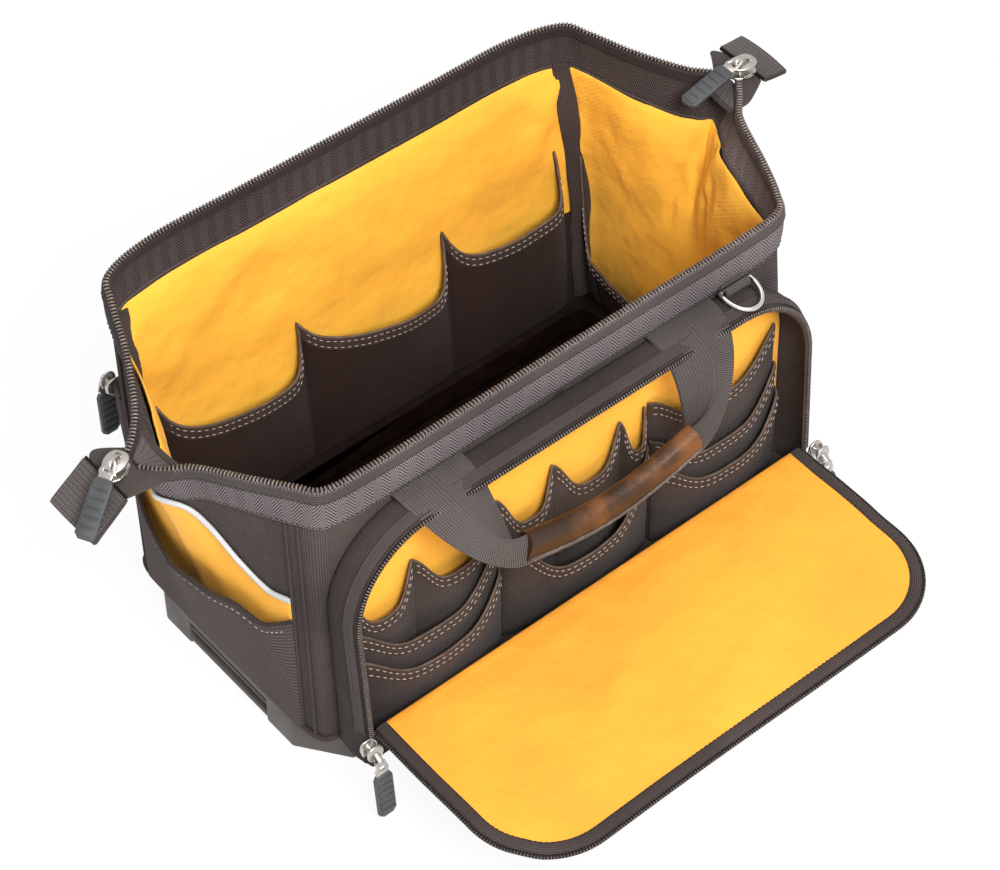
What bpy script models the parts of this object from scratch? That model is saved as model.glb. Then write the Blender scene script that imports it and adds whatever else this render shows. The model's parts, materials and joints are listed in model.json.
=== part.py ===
"""Open-mouth tool bag with a zipped front compartment, built as separate sewn and moulded pieces.

Metres, +Z up. The origin is the centre of the base's underside, +X runs along the bag,
and the front compartment faces -Y. Each object is one piece of the bag.
"""

import math

import bmesh
import bpy
from mathutils import Matrix, Vector

# Clearances: between moulded or stacked faces, and of cloth sewn on a curved wall
GAP = 0.0004
SEWN_GAP = 0.0009
OVERRUN = 0.004

# Moulded base tray
TRAY_HALF_LENGTH = 0.220
TRAY_HALF_DEPTH = 0.111
TRAY_HEIGHT = 0.035
TRAY_CHAMFER_ALONG = 0.026
TRAY_CHAMFER_ACROSS = 0.036
TRAY_RIM_END = 0.020
TRAY_RIM_SIDE = 0.014
TRAY_FLOOR = 0.008
FOOT_RISE = 0.004
FOOT_LENGTH = 0.066
FOOT_DEPTH = 0.012
GRIP_SLOT_LOW = 0.009
GRIP_SLOT_HIGH = 0.024
GRIP_SLOT_DEPTH = 0.012
GRIP_SLOT_HALF_WIDTH = 0.045

# Floor board
BOARD_THICKNESS = 0.003
BOARD_RIB_WIDTH = 0.006
BOARD_RIB_HEIGHT = 0.0015
BOARD_RIB_SPACING = 0.034

# Body, from the tray up to the mouth
BODY_HALF_LENGTH = 0.218
BODY_HALF_DEPTH = 0.110
MOUTH_HALF_LENGTH = 0.2095
MOUTH_FRONT = 0.104
MOUTH_REAR = 0.138
TAIL_REACH = 0.061
TAIL_SKEW = 0.005
RIM_HEIGHT_FRONT = 0.277
RIM_HEIGHT_LEFT_TAIL = 0.2585
RIM_HEIGHT_RIGHT_TAIL = 0.281
RIM_HEIGHT_REAR = 0.297
BAND_DEPTH = 0.036
WALL_THICKNESS = 0.0025
LINING_THICKNESS = 0.0015
BAND_THICKNESS = 0.0036
CHAIN_RADIUS = 0.0025
WALL_SPREAD_POWER = 1.6
FRONT_RIM_SLOPE = 1.3
REAR_RIM_SLOPE = 1.05
OUTWARD_STEP = 0.05
WALL_TOP_TAIL_SHARE = 0.75

# Places round the body from the front centre to the rear centre, as shares of the sizes above:
# base length, base depth, mouth length, tail reach and mouth depth (front if negative)
OUTLINE_SHARES = (
    (0.00, -1.000, 0.000, 0.00, -1.000),
    (0.37, -1.000, 0.380, 0.00, -1.000),
    (0.76, -1.000, 0.770, 0.00, -1.000),
    (0.935, -0.985, 0.940, 0.00, -0.970),
    (0.99, -0.900, 1.000, 0.00, -0.835),
    (1.00, -0.550, 1.000, 0.24, -0.565),
    (1.00, -0.260, 1.000, 0.53, -0.180),
    (1.00, -0.055, 1.000, 0.78, -0.028),
    (1.00, 0.070, 1.000, 1.00, 0.109),
    (1.00, 0.200, 1.000, 0.78, 0.194),
    (1.00, 0.360, 1.000, 0.54, 0.310),
    (1.00, 0.640, 1.000, 0.22, 0.565),
    (0.99, 0.900, 1.000, 0.00, 0.800),
    (0.935, 0.985, 0.945, 0.00, 0.930),
    (0.76, 1.000, 0.740, 0.00, 1.000),
    (0.37, 1.000, 0.380, 0.00, 1.000),
    (0.00, 1.000, 0.000, 0.00, 1.000),
)
REAR_CENTRE = len(OUTLINE_SHARES) - 1
OUTLINE_COUNT = 2 * REAR_CENTRE
FRONT_SEAM = 4
TAIL = 8
REAR_SEAM = 12
CHAIN_STOP_SHARE = 0.40

# Mouth sliders, tail hoods and tabs
SLIDER_LENGTH = 0.015
SLIDER_WIDTH = 0.013
SLIDER_HEIGHT = 0.010
EAR_THICKNESS = 0.0014
EAR_LENGTH = 0.006
EAR_HEIGHT = 0.0065
PULL_WIDTH = 0.0145
PULL_THICKNESS = 0.0045
PULL_LENGTH = 0.040
PULL_TAPER = 0.003
LINK_LENGTH = 0.0125
LINK_WIDTH = 0.0060
LINK_THICKNESS = 0.0016
LINK_END = 0.0013
PULL_TIP_SHARE = 0.8
PIVOT_RISE = 0.0045
PIVOT_SHIFT = 0.0043
LEFT_PULL_DROP = math.radians(36.0)
LEFT_PULL_SKEW = math.radians(27.0)
RIGHT_PULL_DROP = math.radians(14.0)
HOOD_THICKNESS = 0.0024
HOOD_REACH = 0.0155
HOOD_CLEARANCE = 0.0006
HOOD_SPREAD_SHARE = 1.6
TAB_STEP = 0.0015
TAB_WIDTH = 0.046
TAB_THICKNESS = 0.0045
LEFT_TAB_LENGTH = 0.036
LEFT_TAB_DROP = math.radians(36.0)
LEFT_TAB_SHIFT = 0.002
RIGHT_TAB_LENGTH = 0.022
RIGHT_TAB_DROP = math.radians(4.0)
RIGHT_TAB_SHIFT = 0.009

# Side pockets
SIDE_BACKING_THICKNESS = 0.0010
SIDE_POCKET_THICKNESS = 0.0020
SIDE_POCKET_BULGE = 0.018
SIDE_SWELL_POWER = 0.45
SIDE_HEM_POWER = 5
PIPING_POWER = 3
SIDE_HEM_LOW = 0.112
SIDE_HEM_HIGH = 0.157
SIDE_PIPING_LOW = 0.170
SIDE_PIPING_HIGH = 0.212
SIDE_MARGIN = 0.5

# Inner pockets
INNER_THICKNESS = 0.0016
INNER_BULGE = 0.018
INNER_SWELL_POWER = 0.8
INNER_HEM_LOW = 0.120
INNER_HEM_HIGH = 0.170
INNER_SEAM_PLACES = (-2.5, -0.92, 0.75, 2.5)
END_POCKET_BULGE = 0.016
END_SWELL_POWER = 0.6
END_HEM_POWER = 3
END_POCKET_HEM_LOW = 0.092
END_POCKET_HEM_HIGH = 0.185

# Front compartment
HINGE_Y = -0.1425
HINGE_Z = 0.0695
ARCH_HALF_WIDTH = 0.2050
ARCH_HEIGHT = 0.1665
ARCH_RADIUS = 0.068
ARCH_LEAN = math.radians(4.16)
ARCH_SKIN = 0.0030
FLAP_CHAIN_RADIUS = 0.0022
SILL_FORWARD = 0.0020
SILL_DROP = 0.0027
SILL_THICKNESS = 0.0030
POCKET_BACK_THICKNESS = 0.0015
BACK_CLEARANCE = 0.0014

# Flap
FLAP_DROOP = math.radians(3.8)
FLAP_ROOT = 0.0006
FLAP_SHELL = 0.0026
FLAP_LINING = 0.0014
FLAP_SLIDER_OUTWARD = 0.0040

# Pouches in the front compartment
POUCH_THICKNESS = 0.0014
POUCH_FLARE_LOW = 0.012
POUCH_FLARE_HIGH = 0.030
HEM_PEAK_POWER = 2.4
NARROW_CELL_POWER = 0.7
WIDE_CELL_POWER = 0.5
POCKET_FLARE_POWER = 0.5

# Pouch groups along the bag, and each layer's hem heights and how far it stands out
POUCH_LEFT = -0.194
POUCH_LEFT_END = -0.068
POUCH_CENTRE = -0.064
POUCH_CENTRE_END = 0.070
POUCH_RIGHT = 0.074
POUCH_RIGHT_END = 0.194
REAR_POUCH_LOW = 0.150
REAR_POUCH_HIGH = 0.186
MIDDLE_POUCH_LOW = 0.112
MIDDLE_POUCH_HIGH = 0.140
FRONT_POUCH_LOW = 0.093
FRONT_POUCH_HIGH = 0.116
REAR_POUCH_BULGE = 0.0075
MIDDLE_POUCH_BULGE = 0.0145
FRONT_POUCH_BULGE = 0.0210
PLAIN_SEAM_SHARES = (0.0, 1.0)
LEFT_SEAM_SHARES = (0.0, 0.4, 1.0)
CENTRE_SEAM_SHARES = (0.0, 0.34, 0.74, 1.0)
FLARE_SHARES = (0.45, 0.70, 0.90, 1.0)

# Handles
STRAP_WIDTH = 0.056
STRAP_THICKNESS = 0.0024
HANDLE_HALF_SPAN = 0.110
FRONT_HANDLE_SHIFT = -0.009
GRIP_HALF_LENGTH = 0.076
GRIP_THICKNESS = 0.013
GRIP_HEIGHT = 0.022
GRIP_SAG = 0.014
HANDLE_REACH = 0.056
HANDLE_DROP = 0.047
STRAP_END_WIDTH = 0.030
HANDLE_ROOT_DROP = 0.0018
STRAP_STUB = 0.0022

# D-rings
RING_WIDTH = 0.032
RING_DEPTH = 0.024
RING_WIRE = 0.0017
FRONT_RING_DROP = math.radians(12.0)
REAR_RING_DROP = math.radians(80.0)
FRONT_RING_CLEARANCE = 0.005
REAR_RING_CLEARANCE = 0.006
RING_ASIDE = HANDLE_HALF_SPAN + STRAP_WIDTH / 2 + RING_WIDTH / 2
FRONT_RING_ALONG = RING_ASIDE + FRONT_RING_CLEARANCE + FRONT_HANDLE_SHIFT
REAR_RING_ALONG = -(RING_ASIDE + REAR_RING_CLEARANCE)
RING_LOOP_WIDTH = 0.021
RING_LOOP_THICKNESS = 0.0020
RING_BAR_RISE = 0.002
RING_ARC_POWER = 0.8
LOOP_OPENING = math.radians(35.0)

# Rear zipped pocket
REAR_PANEL_LOW = 0.060
REAR_PANEL_HIGH = 0.190
REAR_PANEL_BULGE = 0.007
REAR_PANEL_THICKNESS = 0.0025
REAR_ZIP_DEPTH = 0.018
REAR_SLIDER_INSET = 0.009
REAR_SLIDER_ALONG = 0.201
REAR_PANEL_PLACES = 3.3

BLACK = (0.028, 0.026, 0.026)
SOFT_BLACK = (0.040, 0.037, 0.036)
YELLOW = (0.95, 0.42, 0.03)
METAL = (0.72, 0.70, 0.67)
RUBBER = (0.055, 0.058, 0.062)
LEATHER = (0.10, 0.055, 0.035)
MOULDED = (0.075, 0.068, 0.066)


def clear_scene():
    """Remove every object, so the bag stands alone."""
    for item in list(bpy.data.objects):
        bpy.data.objects.remove(item, do_unlink=True)


def material(name, colour, roughness, metallic=0.0):
    """Return the named Principled material, made at its first use."""
    found = bpy.data.materials.get(name)
    if found is not None:
        return found
    made = bpy.data.materials.new(name)
    made.use_nodes = True
    shader = made.node_tree.nodes["Principled BSDF"]
    shader.inputs["Base Color"].default_value = (*colour, 1.0)
    shader.inputs["Roughness"].default_value = roughness
    shader.inputs["Metallic"].default_value = metallic
    return made


def fabric(name, colour=BLACK):
    """Return a woven cloth material."""
    return material(name, colour, 0.85)


def add_object(name, vertices, faces, surface, smooth=False):
    """Add one closed mesh object with its faces pointing out."""
    mesh = bpy.data.meshes.new(name)
    mesh.from_pydata([tuple(vertex) for vertex in vertices], [], faces)
    work = bmesh.new()
    work.from_mesh(mesh)
    bmesh.ops.recalc_face_normals(work, faces=work.faces)
    work.to_mesh(mesh)
    work.free()
    mesh.materials.append(surface)
    if smooth:
        mesh.shade_smooth()
        mesh.set_sharp_from_angle(angle=math.radians(40.0))
    item = bpy.data.objects.new(name, mesh)
    bpy.context.scene.collection.objects.link(item)
    return item


def slab(name, outer, inner, surface, smooth=True):
    """Close the space between two grids of points, given as rows of equal length."""
    rows = len(outer)
    columns = len(outer[0])
    vertices = [point for row in outer for point in row]
    vertices += [point for row in inner for point in row]
    back = rows * columns
    faces = []
    for row in range(rows - 1):
        for column in range(columns - 1):
            corner = row * columns + column
            beside = corner + 1
            above = corner + columns
            for triangle in ((corner, beside, above + 1), (corner, above + 1, above)):
                faces.append(triangle)
                faces.append(tuple(back + index for index in reversed(triangle)))
    border = [column for column in range(columns)]
    border += [row * columns + columns - 1 for row in range(1, rows)]
    border += [(rows - 1) * columns + column for column in range(columns - 2, -1, -1)]
    border += [row * columns for row in range(rows - 2, 0, -1)]
    for place, index in enumerate(border):
        following = border[(place + 1) % len(border)]
        faces.append((following, index, back + index, back + following))
    return add_object(name, vertices, faces, surface, smooth)


def prism(name, outline, extrusion, surface, smooth=False):
    """Extrude a flat outline of 3-D points by a vector."""
    count = len(outline)
    vertices = [Vector(point) for point in outline]
    vertices += [Vector(point) + extrusion for point in outline]
    faces = [tuple(range(count)), tuple(range(2 * count - 1, count - 1, -1))]
    for index in range(count):
        following = (index + 1) % count
        faces.append((following, index, count + index, count + following))
    return add_object(name, vertices, faces, surface, smooth)


def sweep(name, path, section, upward, surface, smooth=True):
    """Carry a flat section along a path; its first axis is level, its second nearest to upward."""
    count = len(section)
    vertices = []
    for place, point in enumerate(path):
        before = path[max(place - 1, 0)]
        after = path[min(place + 1, len(path) - 1)]
        tangent = (after - before).normalized()
        side = tangent.cross(upward).normalized()
        rise = side.cross(tangent).normalized()
        vertices += [point + side * across + rise * up for across, up in section]
    faces = [tuple(range(count)), tuple(len(vertices) - 1 - index for index in range(count))]
    for ring in range(len(path) - 1):
        for index in range(count):
            here = ring * count + index
            beside = ring * count + (index + 1) % count
            faces.append((here, beside, beside + count, here + count))
    return add_object(name, vertices, faces, surface, smooth)


def round_section(radius, sides=6):
    """Return a regular polygon about the path."""
    turn = 2.0 * math.pi / sides
    return [(radius * math.cos(turn * step), radius * math.sin(turn * step)) for step in range(sides)]


def flat_section(width, thickness):
    """Return a rectangle about the path."""
    return [
        (-width / 2, -thickness / 2),
        (width / 2, -thickness / 2),
        (width / 2, thickness / 2),
        (-width / 2, thickness / 2),
    ]


def add_box(name, low, high, surface):
    """Add a box between two corners."""
    corners = ((low[0], low[1]), (high[0], low[1]), (high[0], high[1]), (low[0], high[1]))
    outline = [(x, y, low[2]) for x, y in corners]
    return prism(name, outline, Vector((0, 0, high[2] - low[2])), surface)


def cut(item, tool_name, low, high):
    """Cut a box out of an object with an exact Boolean."""
    tool = add_box(tool_name, low, high, item.data.materials[0])
    hide_tool(tool)
    apply_boolean(item, tool, "DIFFERENCE")


def hide_tool(tool):
    """Keep a guide shape out of the finished bag."""
    tool.hide_render = True
    tool.display_type = "WIRE"


def apply_boolean(item, tool, operation):
    """Add an exact Boolean of one object on another."""
    modifier = item.modifiers.new(tool.name, "BOOLEAN")
    modifier.operation = operation
    modifier.solver = "EXACT"
    modifier.object = tool


def put_origin(item, pivot):
    """Move an object's origin to its joint's axis, with its shape left in place."""
    item.data.transform(Matrix.Translation(-pivot))
    item.location = pivot


def blend(start, end, share):
    """Return the value a share of the way from start to end."""
    return start + (end - start) * share


def outline_control(place):
    """Return the shares at a whole place round the body, and the side it lies on."""
    place = place % OUTLINE_COUNT
    if place <= REAR_CENTRE:
        return OUTLINE_SHARES[place], 1.0
    return OUTLINE_SHARES[OUTLINE_COUNT - place], -1.0


def rim_height(depth_share, side):
    """Return the mouth's height at a share of its depth, front if negative, on one side."""
    tail_height = RIM_HEIGHT_RIGHT_TAIL if side > 0 else RIM_HEIGHT_LEFT_TAIL
    if depth_share < 0:
        return blend(tail_height, RIM_HEIGHT_FRONT, min(1.0, -FRONT_RIM_SLOPE * depth_share))
    return blend(tail_height, RIM_HEIGHT_REAR, min(1.0, REAR_RIM_SLOPE * depth_share))


def control_points(place):
    """Return the points at the base, at the wall's top and at the rim for a whole place."""
    shares, side = outline_control(place)
    base_x, base_y, mouth_x, tail, mouth_y = shares
    depth = MOUTH_REAR if mouth_y > 0 else MOUTH_FRONT
    height = rim_height(mouth_y, side)
    mouth_depth = mouth_y * depth + side * tail * TAIL_SKEW
    base = Vector((side * base_x * BODY_HALF_LENGTH, base_y * BODY_HALF_DEPTH, TRAY_HEIGHT + GAP))
    wall_x = mouth_x * MOUTH_HALF_LENGTH + tail * TAIL_REACH * WALL_TOP_TAIL_SHARE
    rim_x = mouth_x * MOUTH_HALF_LENGTH + tail * TAIL_REACH
    wall_top = Vector((side * wall_x, mouth_depth, height - BAND_DEPTH))
    rim = Vector((side * rim_x, mouth_depth, height))
    return base, wall_top, rim


def spline(points, share):
    """Return the Catmull-Rom point between the middle two of four points."""
    before, start, end, after = points
    square = share * share
    cube = square * share
    total = start * 2.0 + (end - before) * share
    total = total + (before * 2.0 - start * 5.0 + end * 4.0 - after) * square
    total = total + (start * 3.0 - before - end * 3.0 + after) * cube
    return total * 0.5


def levels_at(place):
    """Return the base, wall-top and rim points at any place round the body."""
    whole = math.floor(place)
    stacks = [control_points(whole + step) for step in (-1, 0, 1, 2)]
    return [spline([stack[height] for stack in stacks], place - whole) for height in range(3)]


def body_point(place, level):
    """Return a point of the body's outside: level 0 base, 1 wall top, 2 rim."""
    base, wall_top, rim = levels_at(place)
    if level <= 1.0:
        point = base.lerp(wall_top, level ** WALL_SPREAD_POWER)
        point.z = blend(base.z, wall_top.z, level)
        return point
    return wall_top.lerp(rim, level - 1.0)


def body_outward(place, level):
    """Return the level direction that points out of the body."""
    along = body_point(place + OUTWARD_STEP, level) - body_point(place - OUTWARD_STEP, level)
    return Vector((along.y, -along.x, 0)).normalized()


def offset_point(place, level, distance):
    """Return a point of the body moved out by a distance."""
    return body_point(place, level) + body_outward(place, level) * distance


def level_at_height(place, height):
    """Return the wall level that lies at a height."""
    base, wall_top, _ = levels_at(place)
    return (height - base.z) / (wall_top.z - base.z)


def wall_at_height(place, height, distance):
    """Return a point of the wall at a height, moved out by a distance."""
    return offset_point(place, level_at_height(place, height), distance)


def inset_place(place, direction, distance):
    """Return the place that lies a distance round from another, at the wall's top."""
    spacing = (body_point(place + 0.5 * direction, 1.0) - body_point(place, 1.0)).length * 2.0
    return place + direction * distance / spacing


def spaced(start, end, count):
    """Return evenly spaced values, both ends included."""
    return [blend(start, end, step / (count - 1)) for step in range(count)]


def wall_shell(name, start, end, columns, rows, outside, thickness, surface):
    """Add a wall panel from the tray to the mouth band."""
    places = spaced(inset_place(start, 1, GAP), inset_place(end, -1, GAP), columns)
    top = 1.0 - GAP / (RIM_HEIGHT_FRONT - BAND_DEPTH - TRAY_HEIGHT)
    levels = spaced(0.0, top, rows)
    inside = outside - thickness
    outer = [[offset_point(place, level, outside) for place in places] for level in levels]
    inner = [[offset_point(place, level, inside) for place in places] for level in levels]
    return slab(name, outer, inner, surface)


def build_walls():
    """Add the four walls and their linings."""
    walls = (
        ("front", -FRONT_SEAM, FRONT_SEAM, 17, 4),
        ("right", FRONT_SEAM, REAR_SEAM, 17, 5),
        ("rear", REAR_SEAM, OUTLINE_COUNT - REAR_SEAM, 17, 5),
        ("left", OUTLINE_COUNT - REAR_SEAM, OUTLINE_COUNT - FRONT_SEAM, 17, 5),
    )
    for side, start, end, columns, rows in walls:
        span = (start, end, columns, rows)
        wall_shell(side + "_wall", *span, 0, WALL_THICKNESS, fabric("wall_cloth"))
        inside = -WALL_THICKNESS - GAP
        wall_shell(side + "_lining", *span, inside, LINING_THICKNESS, fabric("lining", YELLOW))


def mouth_span(front):
    """Return the first and last places of the front or rear half of the mouth."""
    if front:
        return -TAIL + CHAIN_STOP_SHARE, TAIL - CHAIN_STOP_SHARE
    return TAIL + CHAIN_STOP_SHARE, OUTLINE_COUNT - TAIL - CHAIN_STOP_SHARE


def build_mouth(front):
    """Add one half of the mouth: its band and its zip chain."""
    side = "front" if front else "rear"
    start, end = mouth_span(front)
    places = spaced(start, end, 31)
    drop = (CHAIN_RADIUS + GAP) / BAND_DEPTH
    half = BAND_THICKNESS / 2
    outer = [[offset_point(place, level, half) for place in places] for level in (1.0, 2.0 - drop)]
    inner = [[offset_point(place, level, -half) for place in places] for level in (1.0, 2.0 - drop)]
    slab(side + "_mouth_band", outer, inner, fabric("mouth_band", SOFT_BLACK))
    path = [body_point(place, 2.0) for place in places]
    sweep(side + "_mouth_chain", path, round_section(CHAIN_RADIUS), Vector((0, 0, 1)), fabric("zip_chain"))


def arch_outline(inset, steps=8):
    """Return (across, up) points of the compartment's arch, from the left root to the right root."""
    half = ARCH_HALF_WIDTH - inset
    top = ARCH_HEIGHT - inset
    radius = ARCH_RADIUS - inset
    left = [(-half, 0)]
    for step in range(steps + 1):
        angle = math.pi - step * math.pi / 2 / steps
        left.append((-half + radius + radius * math.cos(angle), top - radius + radius * math.sin(angle)))
    right = [(-across, up) for across, up in reversed(left)]
    return left + right


def arch_point(across, up, behind=0):
    """Return a point of the arch's leaning plane, or a distance behind it."""
    along = Vector((0, math.sin(ARCH_LEAN), math.cos(ARCH_LEAN)))
    inward = Vector((0, math.cos(ARCH_LEAN), -math.sin(ARCH_LEAN)))
    return Vector((across, HINGE_Y, HINGE_Z)) + along * up + inward * behind


def front_face_y(height):
    """Return the y of the front wall's outside at a height."""
    return wall_at_height(0, height, 0).y


def back_plane_y(height):
    """Return the y of the flat plane that the compartment's back lies on, just off the front wall."""
    low = TRAY_HEIGHT + GAP
    high = RIM_HEIGHT_FRONT - BAND_DEPTH
    return blend(front_face_y(low), front_face_y(high), (height - low) / (high - low)) - BACK_CLEARANCE


def backed_point(across, up, clearance):
    """Return the point of the back plane behind a point of the arch, a distance in front of it."""
    front = arch_point(across, up)
    return Vector((front.x, back_plane_y(front.z) - clearance, front.z))


def build_compartment():
    """Add the front compartment's gusset, sill, yellow back and zip chain."""
    cloth = fabric("gusset_cloth")
    outer_line = arch_outline(0)
    inner_line = arch_outline(ARCH_SKIN)
    outer = [
        [arch_point(across, up) for across, up in outer_line],
        [backed_point(across, up, 0) for across, up in outer_line],
    ]
    inner = [
        [arch_point(across, up) for across, up in inner_line],
        [backed_point(across, up, 0) for across, up in inner_line],
    ]
    slab("front_gusset", outer, inner, cloth)

    sill_top = HINGE_Z - SILL_DROP
    sill_low = TRAY_HEIGHT + GAP
    sill_front = HINGE_Y - SILL_FORWARD
    back = back_plane_y(sill_low)
    profile = (
        (sill_front, sill_low),
        (back, sill_low),
        (back, sill_low + SILL_THICKNESS),
        (sill_front + SILL_THICKNESS, sill_low + SILL_THICKNESS),
        (sill_front + SILL_THICKNESS, sill_top),
        (sill_front, sill_top),
    )
    outline = [(-ARCH_HALF_WIDTH, y, z) for y, z in profile]
    prism("front_sill", outline, Vector((2 * ARCH_HALF_WIDTH, 0, 0)), cloth)

    floor_up = (sill_low + SILL_THICKNESS + GAP - HINGE_Z) / math.cos(ARCH_LEAN)
    line = arch_outline(ARCH_SKIN + GAP)
    line = [(line[0][0], floor_up)] + line[1:-1] + [(line[-1][0], floor_up)]
    front_face = [backed_point(across, up, POCKET_BACK_THICKNESS) for across, up in line]
    rear_face = [backed_point(across, up, 0) for across, up in line]
    loft_pair("front_pocket_back", front_face, rear_face, fabric("pocket_back", YELLOW))

    chain_inset = ARCH_SKIN / 2
    root_up = FLAP_CHAIN_RADIUS * 2
    line = arch_outline(chain_inset)
    line = [(line[0][0], root_up)] + line[1:-1] + [(line[-1][0], root_up)]
    behind = -FLAP_CHAIN_RADIUS - GAP
    path = [arch_point(across, up, behind) for across, up in line]
    normal = arch_point(0, 0, -1) - arch_point(0, 0)
    sweep("arch_chain", path, round_section(FLAP_CHAIN_RADIUS), normal, fabric("zip_chain"))


def loft_pair(name, front_face, rear_face, surface):
    """Close the space between two outlines of equal length."""
    count = len(front_face)
    vertices = list(front_face) + list(rear_face)
    faces = [tuple(range(count)), tuple(range(2 * count - 1, count - 1, -1))]
    for index in range(count):
        following = (index + 1) % count
        faces.append((following, index, count + index, count + following))
    return add_object(name, vertices, faces, surface)


def flap_point(across, along, above=0):
    """Return a point of the open flap, a distance above its middle plane."""
    outward = Vector((0, -math.cos(FLAP_DROOP), -math.sin(FLAP_DROOP)))
    upward = Vector((0, -math.sin(FLAP_DROOP), math.cos(FLAP_DROOP)))
    return Vector((across, HINGE_Y, HINGE_Z)) + outward * along + upward * above


def flap_inset():
    """Return how far the flap's chain lies inside the arch's outline."""
    return ARCH_SKIN / 2 + 2 * FLAP_CHAIN_RADIUS + GAP


def flap_line(inset, root):
    """Return the flap's outline, its root ends moved to a distance from the hinge."""
    line = arch_outline(inset)
    return [(line[0][0], root)] + line[1:-1] + [(line[-1][0], root)]


def build_flap():
    """Add the fold-down flap: its outer shell, yellow lining and zip chain."""
    half = (FLAP_SHELL + FLAP_LINING + GAP) / 2
    edge = flap_inset() + FLAP_CHAIN_RADIUS + GAP
    line = flap_line(edge, FLAP_ROOT)
    low = [flap_point(across, along, -half) for across, along in line]
    high = [flap_point(across, along, -half + FLAP_SHELL) for across, along in line]
    pieces = [loft_pair("flap_shell", low, high, fabric("flap_cloth"))]
    low = [flap_point(across, along, half - FLAP_LINING) for across, along in line]
    high = [flap_point(across, along, half) for across, along in line]
    pieces.append(loft_pair("flap_lining", low, high, fabric("flap_lining", YELLOW)))
    path = [flap_point(across, along) for across, along in flap_line(flap_inset(), 2 * FLAP_CHAIN_RADIUS)]
    upward = flap_point(0, 0, 1) - flap_point(0, 0)
    pieces.append(sweep("flap_chain", path, round_section(FLAP_CHAIN_RADIUS), upward, fabric("zip_chain")))
    for piece in pieces:
        put_origin(piece, Vector((0, HINGE_Y, HINGE_Z)))


def cell_share(share, seams):
    """Return where a share of a pocket's width lies in its own cell."""
    for start, end in zip(seams, seams[1:]):
        if share <= end:
            return (share - start) / (end - start)
    return 1.0


def pocket_samples(seams, per_cell):
    """Return shares across a pocket that meet each seam."""
    samples = [seams[0]]
    for start, end in zip(seams, seams[1:]):
        samples += spaced(start, end, per_cell + 1)[1:]
    return samples


def swell(share, sharpness):
    """Return how far a cell stands out across its width, from 0 at its seams to 1."""
    return max(0.0, math.sin(math.pi * share)) ** sharpness


def peaked_hem(share, low, high):
    """Return a hem that dips between seams and peaks at them."""
    return blend(low, high, abs(math.cos(math.pi * share)) ** HEM_PEAK_POWER)


def pouch(name, start, end, seams, low, high, layer, bulge):
    """Add one layer of pouches standing in front of the compartment's back."""
    samples = pocket_samples(seams, 6 if len(seams) > 2 else 12)
    bottom = TRAY_HEIGHT + SILL_THICKNESS + 2 * GAP
    base = GAP + POCKET_BACK_THICKNESS + layer * (POUCH_THICKNESS + SEWN_GAP)
    sharpness = NARROW_CELL_POWER if len(seams) > 2 else WIDE_CELL_POWER
    rises = (0.0, POUCH_FLARE_LOW, POUCH_FLARE_HIGH, None)
    front_grid = []
    rear_grid = []
    for rise, flare in zip(rises, FLARE_SHARES):
        front_row = []
        rear_row = []
        for sample in samples:
            share = cell_share(sample, seams)
            height = peaked_hem(share, low, high) if rise is None else bottom + rise
            forward = base + bulge * swell(share, sharpness) * flare
            across = blend(start, end, sample)
            wall = back_plane_y(height)
            front_row.append(Vector((across, wall - forward - POUCH_THICKNESS, height)))
            rear_row.append(Vector((across, wall - forward, height)))
        front_grid.append(front_row)
        rear_grid.append(rear_row)
    slab(name, front_grid, rear_grid, fabric("pouch_cloth"))


def build_pouches():
    """Add the three groups of pouches: three layers at each side and two in the centre."""
    groups = (
        ("left", POUCH_LEFT, POUCH_LEFT_END, LEFT_SEAM_SHARES),
        ("centre", POUCH_CENTRE, POUCH_CENTRE_END, CENTRE_SEAM_SHARES),
        ("right", POUCH_RIGHT, POUCH_RIGHT_END, PLAIN_SEAM_SHARES),
    )
    for side, start, end, seams in groups:
        pouch(side + "_rear_pouch", start, end, seams, REAR_POUCH_LOW, REAR_POUCH_HIGH, 0, REAR_POUCH_BULGE)
        if side == "centre":
            hems = (FRONT_POUCH_LOW, MIDDLE_POUCH_HIGH)
            pouch("centre_front_pouch", start, end, PLAIN_SEAM_SHARES, *hems, 1, FRONT_POUCH_BULGE)
            continue
        hems = (MIDDLE_POUCH_LOW, MIDDLE_POUCH_HIGH)
        pouch(side + "_middle_pouch", start, end, PLAIN_SEAM_SHARES, *hems, 1, MIDDLE_POUCH_BULGE)
        hems = (FRONT_POUCH_LOW, FRONT_POUCH_HIGH)
        pouch(side + "_front_pouch", start, end, PLAIN_SEAM_SHARES, *hems, 2, FRONT_POUCH_BULGE)


def wall_pocket(name, seams, per_cell, hem, outside, thickness, bulge, sharpness, surface):
    """Add a pocket sewn to a wall; negative offsets lie inside the bag."""
    places = pocket_samples(seams, per_cell)
    bottom = TRAY_HEIGHT + 2 * GAP
    direction = 1 if outside > 0 else -1
    near_grid = []
    far_grid = []
    for row in spaced(0.0, 1.0, 5):
        near_row = []
        far_row = []
        for place in places:
            share = cell_share(place, seams)
            height = blend(bottom, hem(share), row)
            distance = outside + direction * bulge * swell(share, sharpness) * row ** POCKET_FLARE_POWER
            near_row.append(wall_at_height(place, height, distance))
            far_row.append(wall_at_height(place, height, distance + direction * thickness))
        near_grid.append(near_row)
        far_grid.append(far_row)
    return slab(name, near_grid, far_grid, surface)


def side_hem(share):
    """Return the outer side pocket's hem: level, then rising to both seams."""
    return blend(SIDE_HEM_LOW, SIDE_HEM_HIGH, abs(2 * share - 1) ** SIDE_HEM_POWER)


def side_piping(share):
    """Return the height of the piping over a side pocket's yellow backing."""
    return blend(SIDE_PIPING_LOW, SIDE_PIPING_HIGH, swell(share, PIPING_POWER))


def inner_hem(share):
    """Return the rear inner pocket's hem."""
    return peaked_hem(share, INNER_HEM_LOW, INNER_HEM_HIGH)


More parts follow.
